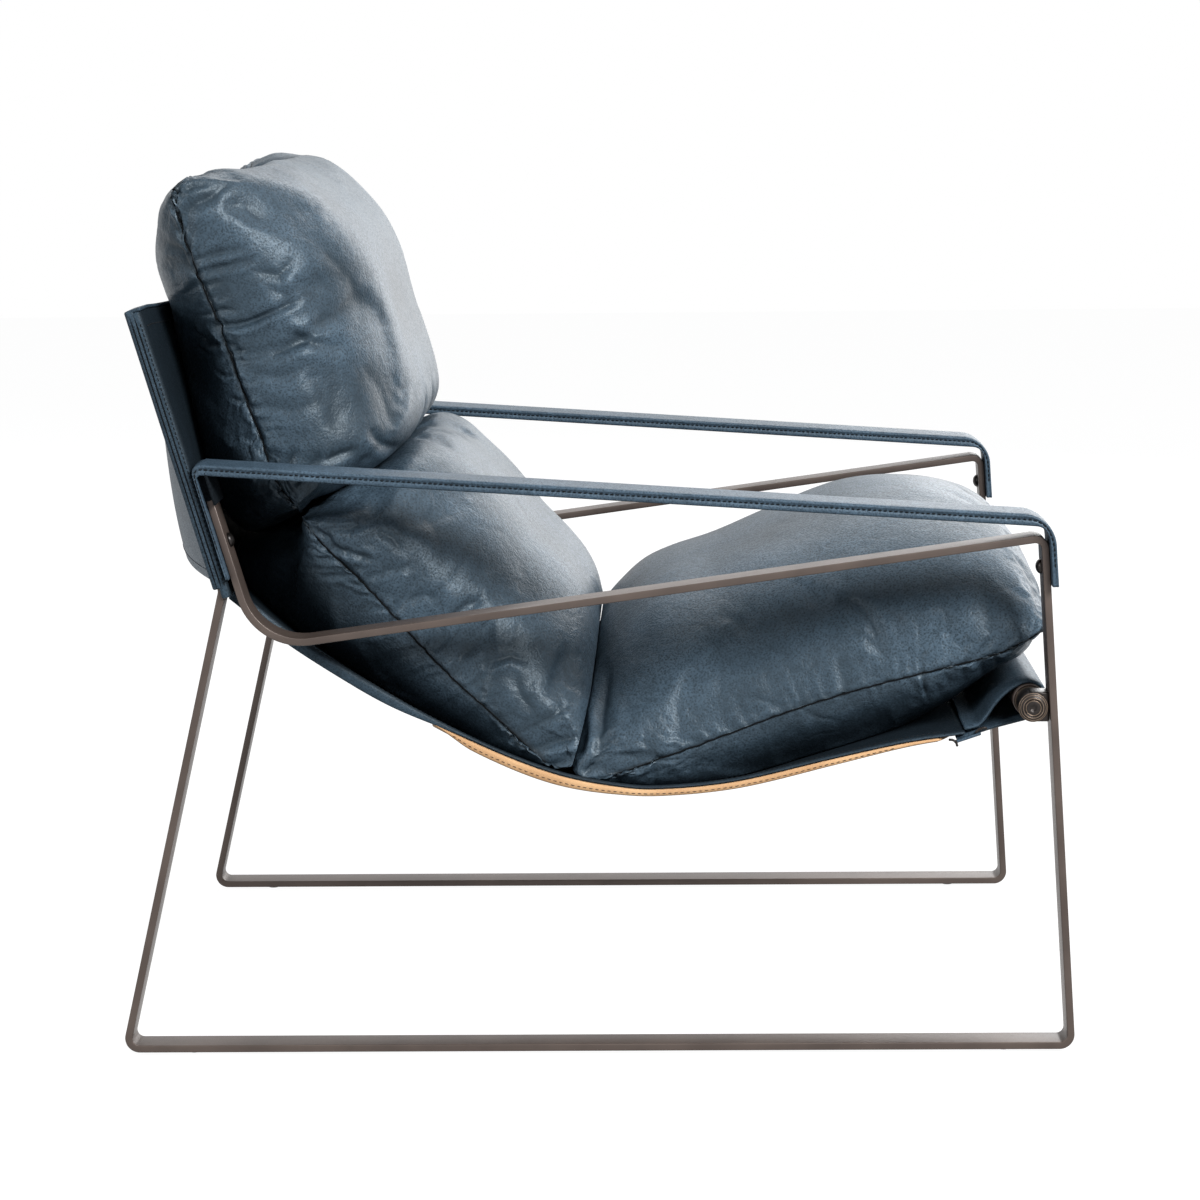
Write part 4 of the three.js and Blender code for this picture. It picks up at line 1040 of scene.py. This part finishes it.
# %% Cushion curves
pad_half = 280 * mm
cushion_curves = {
    "back_cushion": {
        "front": places(
            "258 475  215 497  178 521  164 545  168 575  177 608  188 642  200 686  216 720  241 748"
            "  266 769  294 782  323 778  352 762"
        ),
        "back": places(
            "258 475  276 454  302 438  330 440  352 480  366 540  378 608  384 648  389 664  397 695"
            "  396 728  382 752  352 762"
        ),
        "seam": places(
            "258 475  279 506  292 547  305 581  317 614  328 646  344 687  354 719  361 744  352 762"
        ),
    },
    "lumbar_cushion": {
        "front": places(
            "257 472  214 495  181 515  165 524  150 526  133 518  114 499  92 477  77 459  60 435"
            "  38 412  18 386  7 361  2 335  -2 306  0 278  10 254  28 247"
        ),
        "back": places(
            "257 472  274 456  300 446  326 436  342 414  330 386  300 356  240 312  170 270  110 240"
            "  60 226  28 247"
        ),
        "seam": places(
            "257 472  236 446  209 418  175 381  150 352  125 326  95 298  65 270  42 250  28 247"
        ),
    },
    "seat_cushion": {
        "front": places(
            "10 232  30 250  26 277  14 305  0 334  -15 357  -40 382  -67 396  -105 408  -153 428  -205 449"
            "  -236 459  -275 464  -312 463  -340 457  -364 446  -386 428  -400 405  -402 375"
        ),
        "back": places(
            "10 232  -10 210  -40 200  -90 196  -150 206  -210 226  -270 254  -320 288  -355 322  -385 340"
            "  -402 375"
        ),
        "seam": places(
            "10 232  -24 243  -53 253  -109 273  -166 294  -222 312  -278 327  -334 341  -362 350  -384 362"
            "  -402 375"
        ),
    },
}


def rest_line(x):
    """The sling's middle line at one x: sleeve from its top, then the seat to the pocket seam."""
    shares = np.linspace(0, 1, 60)
    upper, lower = sleeve_surface(shares[:-1], x), seat_surface(shares, x)
    return np.concatenate([upper, lower])[:, 1:]


side_line, middle_line = rest_line(sling_half), rest_line(0.0)


def settle(points, clear):
    """Points nearer than clear to the sling, or behind it, move out along its normal; so at the tube."""
    moved = points.copy()
    ordered = np.argsort(points[:, 0])
    for part in np.array_split(ordered, max(1, len(points) // 4000)):
        lines = side_line + (middle_line - side_line) * bow(points[part, 0], sling_half)[:, None, None]
        start, along = lines[:, :-1], np.diff(lines, axis=1)
        offset = points[part, None, 1:] - start
        share = np.clip((offset * along).sum(-1) / (along**2).sum(-1), 0, 1)
        away = offset - along * share[..., None]
        nearest = np.linalg.norm(away, axis=-1).argmin(1)
        pick = np.arange(len(part))
        way = unit(along[pick, nearest])
        inward = np.stack([way[:, 1], -way[:, 0]], 1)
        height = (away[pick, nearest] * inward).sum(1)
        moved[part, 1:] += inward * np.maximum(0, clear - height)[:, None]
    from_tube = moved[:, 1:] - tube_spot
    far = np.linalg.norm(from_tube, axis=1)
    near = far < 16 * mm + clear
    moved[near, 1:] = tube_spot + from_tube[near] * ((16 * mm + clear) / far[near])[:, None]
    return moved


def parted(name, points, clear=0.5 * mm):
    """Where two chambers press on each other they meet in one face, drawn in the side view: the back and the
    lumbar chamber at a height for each y, and the lumbar and the seat chamber at a depth for each z."""
    moved = points.copy()
    y, z = points[:, 1], points[:, 2]
    split = np.interp(y, upper_contact[:, 0], upper_contact[:, 1])
    front = np.interp(z, lower_contact[::-1, 1], lower_contact[::-1, 0])
    low = z < 352 * mm
    if name == "back_cushion":
        moved[:, 2] = np.maximum(z, split + clear)
    elif name == "lumbar_cushion":
        moved[:, 2] = np.where(y > 150 * mm, np.minimum(z, split - clear), z)
        moved[:, 1] = np.where(low, np.maximum(y, front + clear), y)
    else:
        moved[:, 1] = np.where(low, np.minimum(y, front - clear), y)
    return moved


upper_contact = places("150 531  165 525  181 518  214 496  257 473.5  272 459  290 447  316 437  350 431")
lower_contact = places("-1 350  0.5 335  5 306  12 278  20 251  26 235")

# %% [markdown]
# A cushion is sewn from a front and a back skin. The grid goes round both: front from side seam to side
# seam, then back again. The two ends of the grid are sewn shut by giving both skins the same vertices.

# %% Cushion shell
def section(columns, square, plump):
    """Across u and crown c with |u|^square + |c|^plump = 1, stepped by length, closer at the seams."""
    u = np.sin(np.linspace(-np.pi / 2, np.pi / 2, 4000))
    c = np.maximum(0, 1 - np.abs(u) ** square) ** (1 / plump)
    length = np.concatenate([[0], np.cumsum(np.hypot(280 * np.diff(u), 130 * np.diff(c)))])
    share = np.linspace(0, 1, columns)
    share -= 0.45 * np.sin(2 * np.pi * share) / (2 * np.pi)
    even = np.interp(share * length[-1], length, u)
    return even, np.maximum(0, 1 - np.abs(even) ** square) ** (1 / plump)


form_words = ("front", "back", "full_start", "full_end", "corner", "long")
cushion_forms = {
    "back_cushion": ((5.0, 3.2), (2.5, 2.1), 0.4, 0.0, 22, 300),
    "lumbar_cushion": ((3.4, 2.4), (2.5, 2.1), 0.6, 0.8, 10, 330),
    "seat_cushion": ((2.5, 2.05), (2.9, 2.3), 0.8, 0.1, 12, 440),
}


def cushion_shell(name, rows, columns):
    """Loop of each row, where skin = seam + (skin curve - seam) * crown^power. The power falls below 1 at an
    end that presses on the next chamber, which makes that end fuller."""
    curves, form = cushion_curves[name], dict(zip(form_words, cushion_forms[name]))
    lines = {key: spline_places(even_shares(table, rows), table) for key, table in curves.items()}
    v = np.linspace(0, 1, rows)
    fuller = form["full_start"] * (1 - smoothstep(v, 0, 0.3)) + form["full_end"] * smoothstep(v, 0.62, 0.95)
    corner = form["corner"] * mm
    left = np.clip(1 - np.minimum(v, 1 - v) * form["long"] * mm / corner, 0, 1)
    half = pad_half - 6 * mm * np.sin(np.pi * v) - corner * (1 - np.sqrt(1 - left**2))
    skins = []
    for key in ("front", "back"):
        across, crown = section(columns, *form[key])
        x = across[None] * half[:, None]
        swell = crown[None] ** (1 - fuller * (key == "front"))[:, None]
        yz = lines["seam"][:, None] + (lines[key] - lines["seam"])[:, None] * swell[..., None]
        skins.append(np.concatenate([x[..., None], yz], -1))
    return np.concatenate([skins[0], skins[1][:, -2:0:-1]], axis=1)


def sewn_ends(rows, loop):
    """Vertex numbers of the grid, with the back skin's first and last rows sharing the front's."""
    columns = loop // 2 + 1
    number = np.arange(rows * loop).reshape(rows, loop)
    number[[0, -1], columns:] = number[[0, -1]][:, columns - 2 : 0 : -1]
    kept, sewn = np.unique(number, return_inverse=True)
    return kept, sewn.reshape(rows, loop)


def shell_quads(number):
    """Quads between neighbours of a grid that is closed across."""
    ahead = np.roll(number, -1, axis=1)
    return np.stack([number[:-1], ahead[:-1], ahead[1:], number[1:]], -1).reshape(-1, 4)


def outward(points, quads):
    """The quads, turned round if the volume that they enclose comes out negative."""
    a, b, c, d = (points[quads[:, k]] for k in range(4))
    volume = (np.cross(b - a, c - a) * a).sum() + (np.cross(c - a, d - a) * a).sum()
    return quads if volume > 0 else quads[:, ::-1]


def vertex_normals(points, quads):
    """Sum of the face normals round each vertex, as a unit vector."""
    face = np.cross(points[quads[:, 2]] - points[quads[:, 0]], points[quads[:, 3]] - points[quads[:, 1]])
    total = np.zeros_like(points)
    for k in range(4):
        np.add.at(total, quads[:, k], face)
    return unit(total)


def finer(grid, row_times, column_times):
    """A Catmull-Rom resample of a grid that is closed across: each step becomes several."""
    rows = (grid.shape[0] - 1) * row_times + 1
    tall = spline_places(np.linspace(0, 1, rows), grid)
    wrapped = np.concatenate([tall[:, -1:], tall, tall[:, :2]], axis=1).swapaxes(0, 1)
    steps = grid.shape[1] * column_times
    shares = (1 + np.arange(steps) / column_times) / (wrapped.shape[0] - 1)
    return spline_places(shares, wrapped).swapaxes(0, 1)


print("a cushion shell of 3 rows and 4 front columns has vertices", sewn_ends(3, 6)[1].tolist())

# %% [markdown]
# Leather over soft filling is a little too big for it, so it buckles next to the seams that hold it. A
# short cloth simulation does that: the seams are pinned, the leather is cut four per cent too large and
# gentle pressure holds it out. What each point may move is capped, so that the cushion keeps its outline.

# %% Stuffing by cloth simulation
def stuffed(name, grid, pressure=2.5, spare=0.04, cap=7 * mm, frames=16):
    """Grid = start + move * cap / (cap + |move|), where the move comes from a pinned cloth under pressure."""
    rows, loop = grid.shape[:2]
    kept, number = sewn_ends(rows, loop)
    points = grid.reshape(-1, 3)[kept]
    quads = outward(points, shell_quads(number))
    mesh = bpy.data.meshes.new(name)
    mesh.from_pydata(points.tolist(), [], quads.tolist())
    cloth = bpy.data.objects.new(name, mesh)
    bpy.context.scene.collection.objects.link(cloth)
    sewn = cloth.vertex_groups.new(name="sewn")
    seams = np.concatenate([number[0], number[-1], number[:, 0], number[:, loop // 2]])
    sewn.add(np.unique(seams).tolist(), 1.0, "REPLACE")
    made = cloth.modifiers.new("leather", "CLOTH")
    leather_values = {
        "quality": 6, "mass": 0.25, "tension_stiffness": 20, "compression_stiffness": 20,
        "shear_stiffness": 8, "bending_stiffness": 0.6, "use_pressure": True,
        "uniform_pressure_force": pressure, "shrink_min": -spare, "vertex_group_mass": "sewn",
    }
    for key, value in leather_values.items():
        setattr(made.settings, key, value)
    made.settings.effector_weights.gravity = 0
    made.collision_settings.use_collision = False
    made.point_cache.frame_start, made.point_cache.frame_end = 1, frames
    for step in range(1, frames + 1):
        bpy.context.scene.frame_set(step)
    seen = cloth.evaluated_get(bpy.context.evaluated_depsgraph_get()).data
    moved = np.empty(len(points) * 3, np.float32)
    seen.vertices.foreach_get("co", moved)
    move = moved.reshape(-1, 3) - points
    far = np.linalg.norm(move, axis=1, keepdims=True)
    mean, most = round(float(far.mean()) / mm, 1), round(float(far.max()) / mm, 1)
    print(name, "moved", mean, "mm on average and", most, "mm at most")
    bpy.data.objects.remove(cloth)
    bpy.data.meshes.remove(mesh)
    bpy.context.scene.frame_set(1)
    return (points + move * cap / (cap + far))[number]


# %% [markdown]
# Noise in space gives each cushion lumps of filling and a net of fine wrinkles. It is worked out on a
# seeded lattice, so that each run gives the same leather.

# %% Lumps and wrinkles
def cloud(points, size, seed):
    """Noise from -1 to 1: random values on a lattice of that size, blended with 3f^2 - 2f^3."""
    lattice = np.random.default_rng(seed).uniform(-1, 1, (24, 24, 24))
    cell = points / np.asarray(size)
    low = np.floor(cell).astype(int)
    f = cell - low
    f = f * f * (3 - 2 * f)
    total = 0
    for corner in np.ndindex(2, 2, 2):
        weight = np.prod(np.where(corner, f, 1 - f), axis=-1)
        i, j, k = ((low + corner) % 24).T
        total = total + weight * lattice[i, j, k]
    return total


def wrinkle_net(points, size, seed, thin=0.12):
    """1 along the lines where a noise passes 0, falling to 0 beside them as (1 - |noise| / thin)^2."""
    return np.maximum(0, 1 - np.abs(cloud(points, size, seed)) / thin) ** 2


def wander(along, step, seed):
    """Smooth random values along a line, from -1 to 1, with a new one every step."""
    line = np.stack([along, np.zeros_like(along) + seed * 0.37, np.zeros_like(along)], 1)
    return cloud(line, (step, 1, 1), seed)


def pressed(yz, strokes):
    """Height of creases drawn in the side view: -depth * exp(-(d / width)^1.4) along each stroke, a ridge on
    one side of it, and both fading at its ends. A negative depth raises a fold."""
    height = np.zeros(len(yz))
    for text, width, depth in strokes:
        line = places(text)
        length = run_along(line)
        best = np.full(len(yz), 1e9)
        side = np.zeros(len(yz))
        share = np.zeros(len(yz))
        for k, (a, b) in enumerate(zip(line[:-1], line[1:])):
            leg = b - a
            t = np.clip((yz - a) @ leg / (leg @ leg), 0, 1)
            off = yz - a - t[:, None] * leg
            far = np.linalg.norm(off, axis=1)
            near = far < best
            best = np.where(near, far, best)
            side = np.where(near, np.sign(leg[0] * off[:, 1] - leg[1] * off[:, 0]), side)
            share = np.where(near, (length[k] + t * (length[k + 1] - length[k])) / length[-1], share)
        fade = np.sin(np.pi * np.clip(share * 0.92 + 0.04, 0, 1)) ** 0.7
        w = width * mm
        valley = np.exp(-((best / w) ** 1.4))
        ridge = 0.4 * np.exp(-(((best * side - 2.0 * w) / (1.3 * w)) ** 2))
        height += 1.25 * depth * mm * fade * (ridge - valley)
    return height


side_creases = {
    "back_cushion": [
        ("352 634  343 630  338 622", 1.8, 1.8), ("354 622  346 618  336 614", 1.6, 1.8),
        ("348 640  344 632  336 630", 1.8, -1.4), ("322 612  312 618  300 620", 2.0, 1.4),
        ("338 650  322 654  308 654", 2.2, 1.2), ("330 600  322 596  312 598", 1.8, 1.2),
        ("318 578  308 574  298 576", 2.0, 1.2), ("346 697  324 704  302 708", 3.5, 2.4),
        ("338 689  315 693  291 700", 3.5, 2.2),
        ("330 640  308 641  294 645  255 662", 3.2, 3.6), ("292 688  272 684  258 697", 5, 2.4),
        ("284 676  268 668  262 655", 6, 2.0), ("282 614  264 621  245 629", 5, 2.8),
        ("246 640  226 646  208 662", 7, 3.0), ("270 640  250 640  240 650", 5, -1.8),
        ("300 600  270 596  250 604", 6, 1.4), ("290 570  262 566  240 574", 6, 1.2),
        ("236 521  222 526  208 530", 4, 2.6), ("196 548  186 530  176 520", 5, 3.0),
        ("214 505  206 516  190 530", 4, 2.0), ("374 713  352 704", 4, 1.5), ("363 696  346 689", 4, 1.5),
        ("340 622  323 624", 2.2, 1.8), ("336 636  326 626  322 616", 3, -1.6),
        ("350 741  330 752  312 766", 5, 2.2), ("340 750  300 744  282 726", 7, 1.6),
        ("276 508  268 516  262 530", 3.5, 2.4), ("262 500  254 512", 3, 2.2), ("250 512  238 528", 4, 1.8),
        ("354 756  344 762  330 764", 3, 1.8),
        ("216 626  208 640  207 656  214 678  232 702  254 724", 9, 3.0),
        ("182 532  180 554  188 580  206 604", 8, 2.6), ("262 634  244 624  222 620", 5, 2.2),
        ("236 690  242 668  238 644", 14, 2.2), ("222 590  228 566  222 540", 14, 1.8),
    ],
    "lumbar_cushion": [
        ("247 450  230 446  212 440  187 432", 3.2, 2.4), ("236 462  214 462  196 470", 4, 1.8),
        ("202 417  182 424  162 427", 3.5, 1.4), ("190 460  176 452  168 440", 3.5, 1.4),
        ("206 448  196 440  190 428", 4, -0.8), ("150 470  136 452  132 430", 7, 1.6),
        ("170 396  150 402  138 398", 5, 1.6), ("128 380  112 392  100 394", 4.5, 2.2),
        ("116 372  98 380  84 392", 5, -0.8), ("97 340  74 346  58 340", 3.5, 1.7),
        ("92 334  76 339  64 332", 4, -0.9), ("72 326  64 310  52 294", 5, 1.5),
        ("123 345  114 350  105 357", 4, 1.8), ("60 282  40 292  22 304", 4, 2.0),
        ("56 262  36 270  14 276", 3.5, 2.6), ("48 252  32 262  12 264", 3, -1.8), ("44 246  28 254", 3, 2.0),
        ("258 471  240 458  226 452", 3, 2.0), ("272 453  262 462", 2.5, 2.2),
    ],
    "seat_cushion": [
        ("-49 293  -52 274  -50 256", 5, 0.7), ("-62 300  -66 280  -62 262", 5, -0.4),
        ("-72 302  -75 282  -70 262", 3.5, 0.8), ("-36 304  -38 282  -34 260", 6, -0.4),
        ("-2 330  4 300  6 262", 6, -2.4), ("-10 322  -4 290  -2 262", 4, 3.0),
        ("-22 300  -20 270  -14 248", 6, -1.6),
        ("26 254  14 262  6 282", 3, 1.8), ("12 238  2 250  -6 262", 3, 2.2),
        ("-222 408  -226 398  -226 384", 6, 1.2), ("-232 388  -244 372  -254 346", 5, 1.4),
        ("-225 367  -240 358  -252 346", 4, 1.2), ("-246 388  -258 376  -262 362", 6, -0.7),
        ("-300 392  -310 380  -314 362", 8, 1.2), ("-340 408  -346 390  -344 370", 7, 1.2),
        ("-260 400  -268 384  -268 366", 3, 0.5), ("-280 384  -286 372  -288 356", 2.5, 0.5),
        ("-287 332  -290 318  -295 302", 1.5, 2.2), ("-308 330  -314 316", 3, 1.4),
        ("-324 335  -328 320", 3, 1.6),
        ("-340 340  -345 324", 3, 1.4), ("-352 346  -358 330", 3, 1.6),
        ("-372 420  -384 412  -392 396  -392 378", 4, 2.2), ("-366 432  -378 420", 4, -1.4),
        ("-150 330  -158 312", 5, 0.6), ("-190 350  -196 330", 6, 0.7), ("-110 330  -112 306", 7, 0.7),
    ],
}


def dressed(name, points, normals, from_seam, along, to_end, seed):
    """Points moved along their normals by lumps, a wrinkle net, puckers beside the seams and the creases."""
    side_share = np.exp(-np.abs(from_seam) / (26 * mm))
    end_share = np.exp(-to_end / (22 * mm))
    height = 1.8 * mm * cloud(points, 80 * mm, seed) + 0.5 * mm * cloud(points, 34 * mm, seed + 1)
    near_edges = np.clip(0.25 + side_share + end_share, 0, 1)
    net = wrinkle_net(points, (60 * mm, 34 * mm, 20 * mm), seed + 2, 0.16)
    net = net * smoothstep(cloud(points, 50 * mm, seed + 3), -0.1, 0.4)
    height -= 1.1 * mm * net * near_edges
    which = np.where(from_seam > 0, 0.0, 5.0) + np.where(points[:, 0] > 0, 2.5, 0.0)
    puckers = wander(along + which, 9 * mm, seed + 4) + 0.6 * wander(along + which, 4.5 * mm, seed + 5)
    height += 1.1 * mm * puckers * side_share
    over = points[:, 0] + which
    gathers = wander(over, 11 * mm, seed + 6) + 0.7 * wander(over, 5 * mm, seed + 7)
    height += 1.3 * mm * gathers * end_share
    valley = np.exp(-((from_seam / (2.6 * mm)) ** 2)) + np.exp(-((to_end / (2.6 * mm)) ** 2))
    height -= 1.9 * mm * np.minimum(valley, 1)
    for side in (-1, 1):
        beside = smoothstep(side * points[:, 0], 120 * mm, 205 * mm)
        shift = 0 if side < 0 else 9 * mm
        height += beside * pressed(points[:, 1:] + shift, side_creases[name])
    height *= 1 - 0.9 * np.exp(-(from_seam**2 + to_end**2) / (16 * mm) ** 2)
    return points + normals * height[:, None], height


sim_rows, sim_columns, finer_by = 80, 96, 3
seam_cords = []
for number_of_cushion, name in enumerate(cushion_curves):
    start = cushion_shell(name, sim_rows, sim_columns)
    if name == "back_cushion":
        dip = smoothstep(start[..., 1], 290 * mm, 335 * mm) * smoothstep(start[..., 2], 690 * mm, 745 * mm)
        beside = smoothstep(np.abs(start[..., 0]), 140 * mm, 240 * mm)
        start[..., 2] += dip * (7 * mm * beside - 22 * mm * (1 - beside))
    grid = finer(stuffed(name, start, cap=5 * mm if name == "seat_cushion" else 7 * mm), finer_by, finer_by)
    rows, loop = grid.shape[:2]
    kept, number = sewn_ends(rows, loop)
    half_loop = loop // 2
    edge = np.linalg.norm(np.diff(grid, axis=1, append=grid[:, :1]), axis=2)
    run = np.concatenate([np.zeros((rows, 1)), np.cumsum(edge, axis=1)[:, :-1]], axis=1)
    whole, middle = edge.sum(1, keepdims=True), run[:, half_loop : half_loop + 1]
    front = np.arange(loop)[None] <= half_loop
    from_seam = np.where(front, np.minimum(run, middle - run), -np.minimum(run - middle, whole - run))
    step = np.linalg.norm(np.diff(grid, axis=0), axis=2)
    down = np.concatenate([np.zeros((1, loop)), np.cumsum(step, axis=0)])
    to_end = np.minimum(down, down[-1:] - down)
    points = grid.reshape(-1, 3)[kept]
    quads = outward(points, shell_quads(number))
    normals = vertex_normals(points, quads)
    fields = [field.ravel()[kept] for field in (from_seam, np.broadcast_to(down[:, :1], down.shape), to_end)]
    points, height = dressed(name, points, normals, *fields, 20 + 10 * number_of_cushion)
    points = settle(parted(name, points), leather_thick / 2 + 0.9 * mm)
    for column in (0, half_loop):
        line = points[number[4:-4, column]] + normals[number[4:-4, column]] * 0.5 * mm
        seam_cords.append(corded(line, 0.75 * mm))
    cushion = mesh_piece(f"{name}_stuffed", points, quads, pad_leather, "pad", "pad_leather", merge=0)
    # Painted shade and highlight: the height of the leather darkens creases and lightens raised folds in the
    # colour.
    attribute(cushion, "painted_fold_shading", np.clip(height / (6 * mm), -0.5, 0.5))
    # Painted shade: the colour goes near black along the seam grooves.
    seam_groove_shade = np.exp(-((np.minimum(np.abs(fields[0]), fields[2]) / (1.1 * mm)) ** 2))
    # Painted shade: the rear skins that lie against the sling darken, except above the sleeve.
    above_sleeve = smoothstep(points[:, 2], 600 * mm, 665 * mm)
    painted_rear_shade = 0.62 * smoothstep(-fields[0], 6 * mm, 60 * mm) * (1 - above_sleeve)
    attribute(cushion, "seam", np.maximum(seam_groove_shade, painted_rear_shade))
    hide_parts(name)
    print(name, "has", len(quads), "faces")
# Painted shade: dark cords along the cushions' side seams.
mesh_piece("side_seam_lines", *joined(seam_cords), painted_seam_shade, "pad", "pad_leather")

# %% [markdown]
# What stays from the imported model, such as the hidden plugs and the bars behind the back, gets the same
# paint and metal.

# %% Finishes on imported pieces
packed_finishes = {"back_top_crossbar": bronze_paint, "back_lower_crossbar": bronze_paint}
for name in ("tube_plug_left", "tube_plug_right", "strap_insert_left", "strap_insert_right"):
    packed_finishes[name] = dark_metal
for name, material in packed_finishes.items():
    nodes[name].data.materials.clear()
    nodes[name].data.materials.append(material)

# %% [markdown]
# Light: a large soft lamp beyond the chair's front grazes the cushions' fronts, with a weak one above it. A
# high key lamp on the camera's side lights their sides and keeps the hollows under them dark, and another
# rims the back. The floor shows white to the camera and still takes the chair's shadow.

# %% Studio
def soft_lamp(name, place, aim, size, power):
    """A square area lamp at a place that points at the aim."""
    data = bpy.data.lights.new(name, "AREA")
    data.size = size
    data.energy = power
    lamp = bpy.data.objects.new(name, data)
    bpy.context.scene.collection.objects.link(lamp)
    ahead = unit(np.asarray(aim, float) - np.asarray(place, float))
    side = unit(np.cross(ahead, [0, 0, 1]) + 1e-9)
    up = np.cross(side, ahead)
    turned_lamp = np.eye(4)
    turned_lamp[:3, :3] = np.stack([side, up, -ahead], axis=1)
    turned_lamp[:3, 3] = place
    lamp.matrix_world = Matrix(turned_lamp.tolist())
    return lamp


soft_lamp("front_softbox", (3.2, -1.8, 1.8), (0, 0, 0.45), 3.0, 82)
soft_lamp("overhead_softbox", (1.8, -0.2, 2.5), (0, 0, 0.4), 2.0, 22)
soft_lamp("near_key", (-2.5, -1.9, 2.6), (0, 0, 0.5), 1.6, 225)
soft_lamp("rear_rim", (-2.4, 2.6, 1.5), (0, 0.2, 0.5), 1.2, 45)

def cleared(owner):
    """The owner's own node tree, emptied."""
    owner.use_nodes = True
    owner.node_tree.nodes.clear()
    return owner.node_tree


def white_when_seen(tree, unseen, seen, output):
    """Camera, glossy and transmission rays take the seen shader, and rays that light take the unseen."""
    path = tree.nodes.new("ShaderNodeLightPath").outputs
    gloss = maths(tree, "MAXIMUM", path["Is Glossy Ray"], path["Is Transmission Ray"])
    share = maths(tree, "MAXIMUM", path["Is Camera Ray"], gloss)
    mixed = put(tree, "ShaderNodeMixShader", {0: share, 1: unseen.outputs[0], 2: seen.outputs[0]})
    put(tree, output, {"Surface": mixed.outputs[0]})


world = bpy.data.worlds.new("studio")
bpy.context.scene.world = world
tree = cleared(world)
plain = put(tree, "ShaderNodeBackground", {"Color": (0.86, 0.92, 1.0, 1), "Strength": 0.07})
white = put(tree, "ShaderNodeBackground", {"Color": (1, 1, 1, 1), "Strength": 1.0})
white_when_seen(tree, plain, white, "ShaderNodeOutputWorld")

floor_material = bpy.data.materials.new("pale_floor")
tree = cleared(floor_material)
matte = put(tree, "ShaderNodeBsdfDiffuse", {"Color": (0.14, 0.14, 0.14, 1)})
glow = put(tree, "ShaderNodeEmission", {"Color": (1, 1, 1, 1), "Strength": 0.97})
lit = put(tree, "ShaderNodeAddShader", {0: matte.outputs[0], 1: glow.outputs[0]})
white_when_seen(tree, matte, lit, "ShaderNodeOutputMaterial")
floor_points = np.array([(-9, -9, 0), (9, -9, 0), (9, 9, 0), (-9, 9, 0)], float)
floor_mesh = bpy.data.meshes.new("studio_floor")
floor_mesh.from_pydata(floor_points.tolist(), [], [(0, 1, 2, 3)])
floor_mesh.materials.append(floor_material)
floor = bpy.data.objects.new("studio_floor", floor_mesh)
floor.location.z = -0.0005
bpy.context.scene.collection.objects.link(floor)
bpy.context.scene.view_settings.view_transform = "Standard"
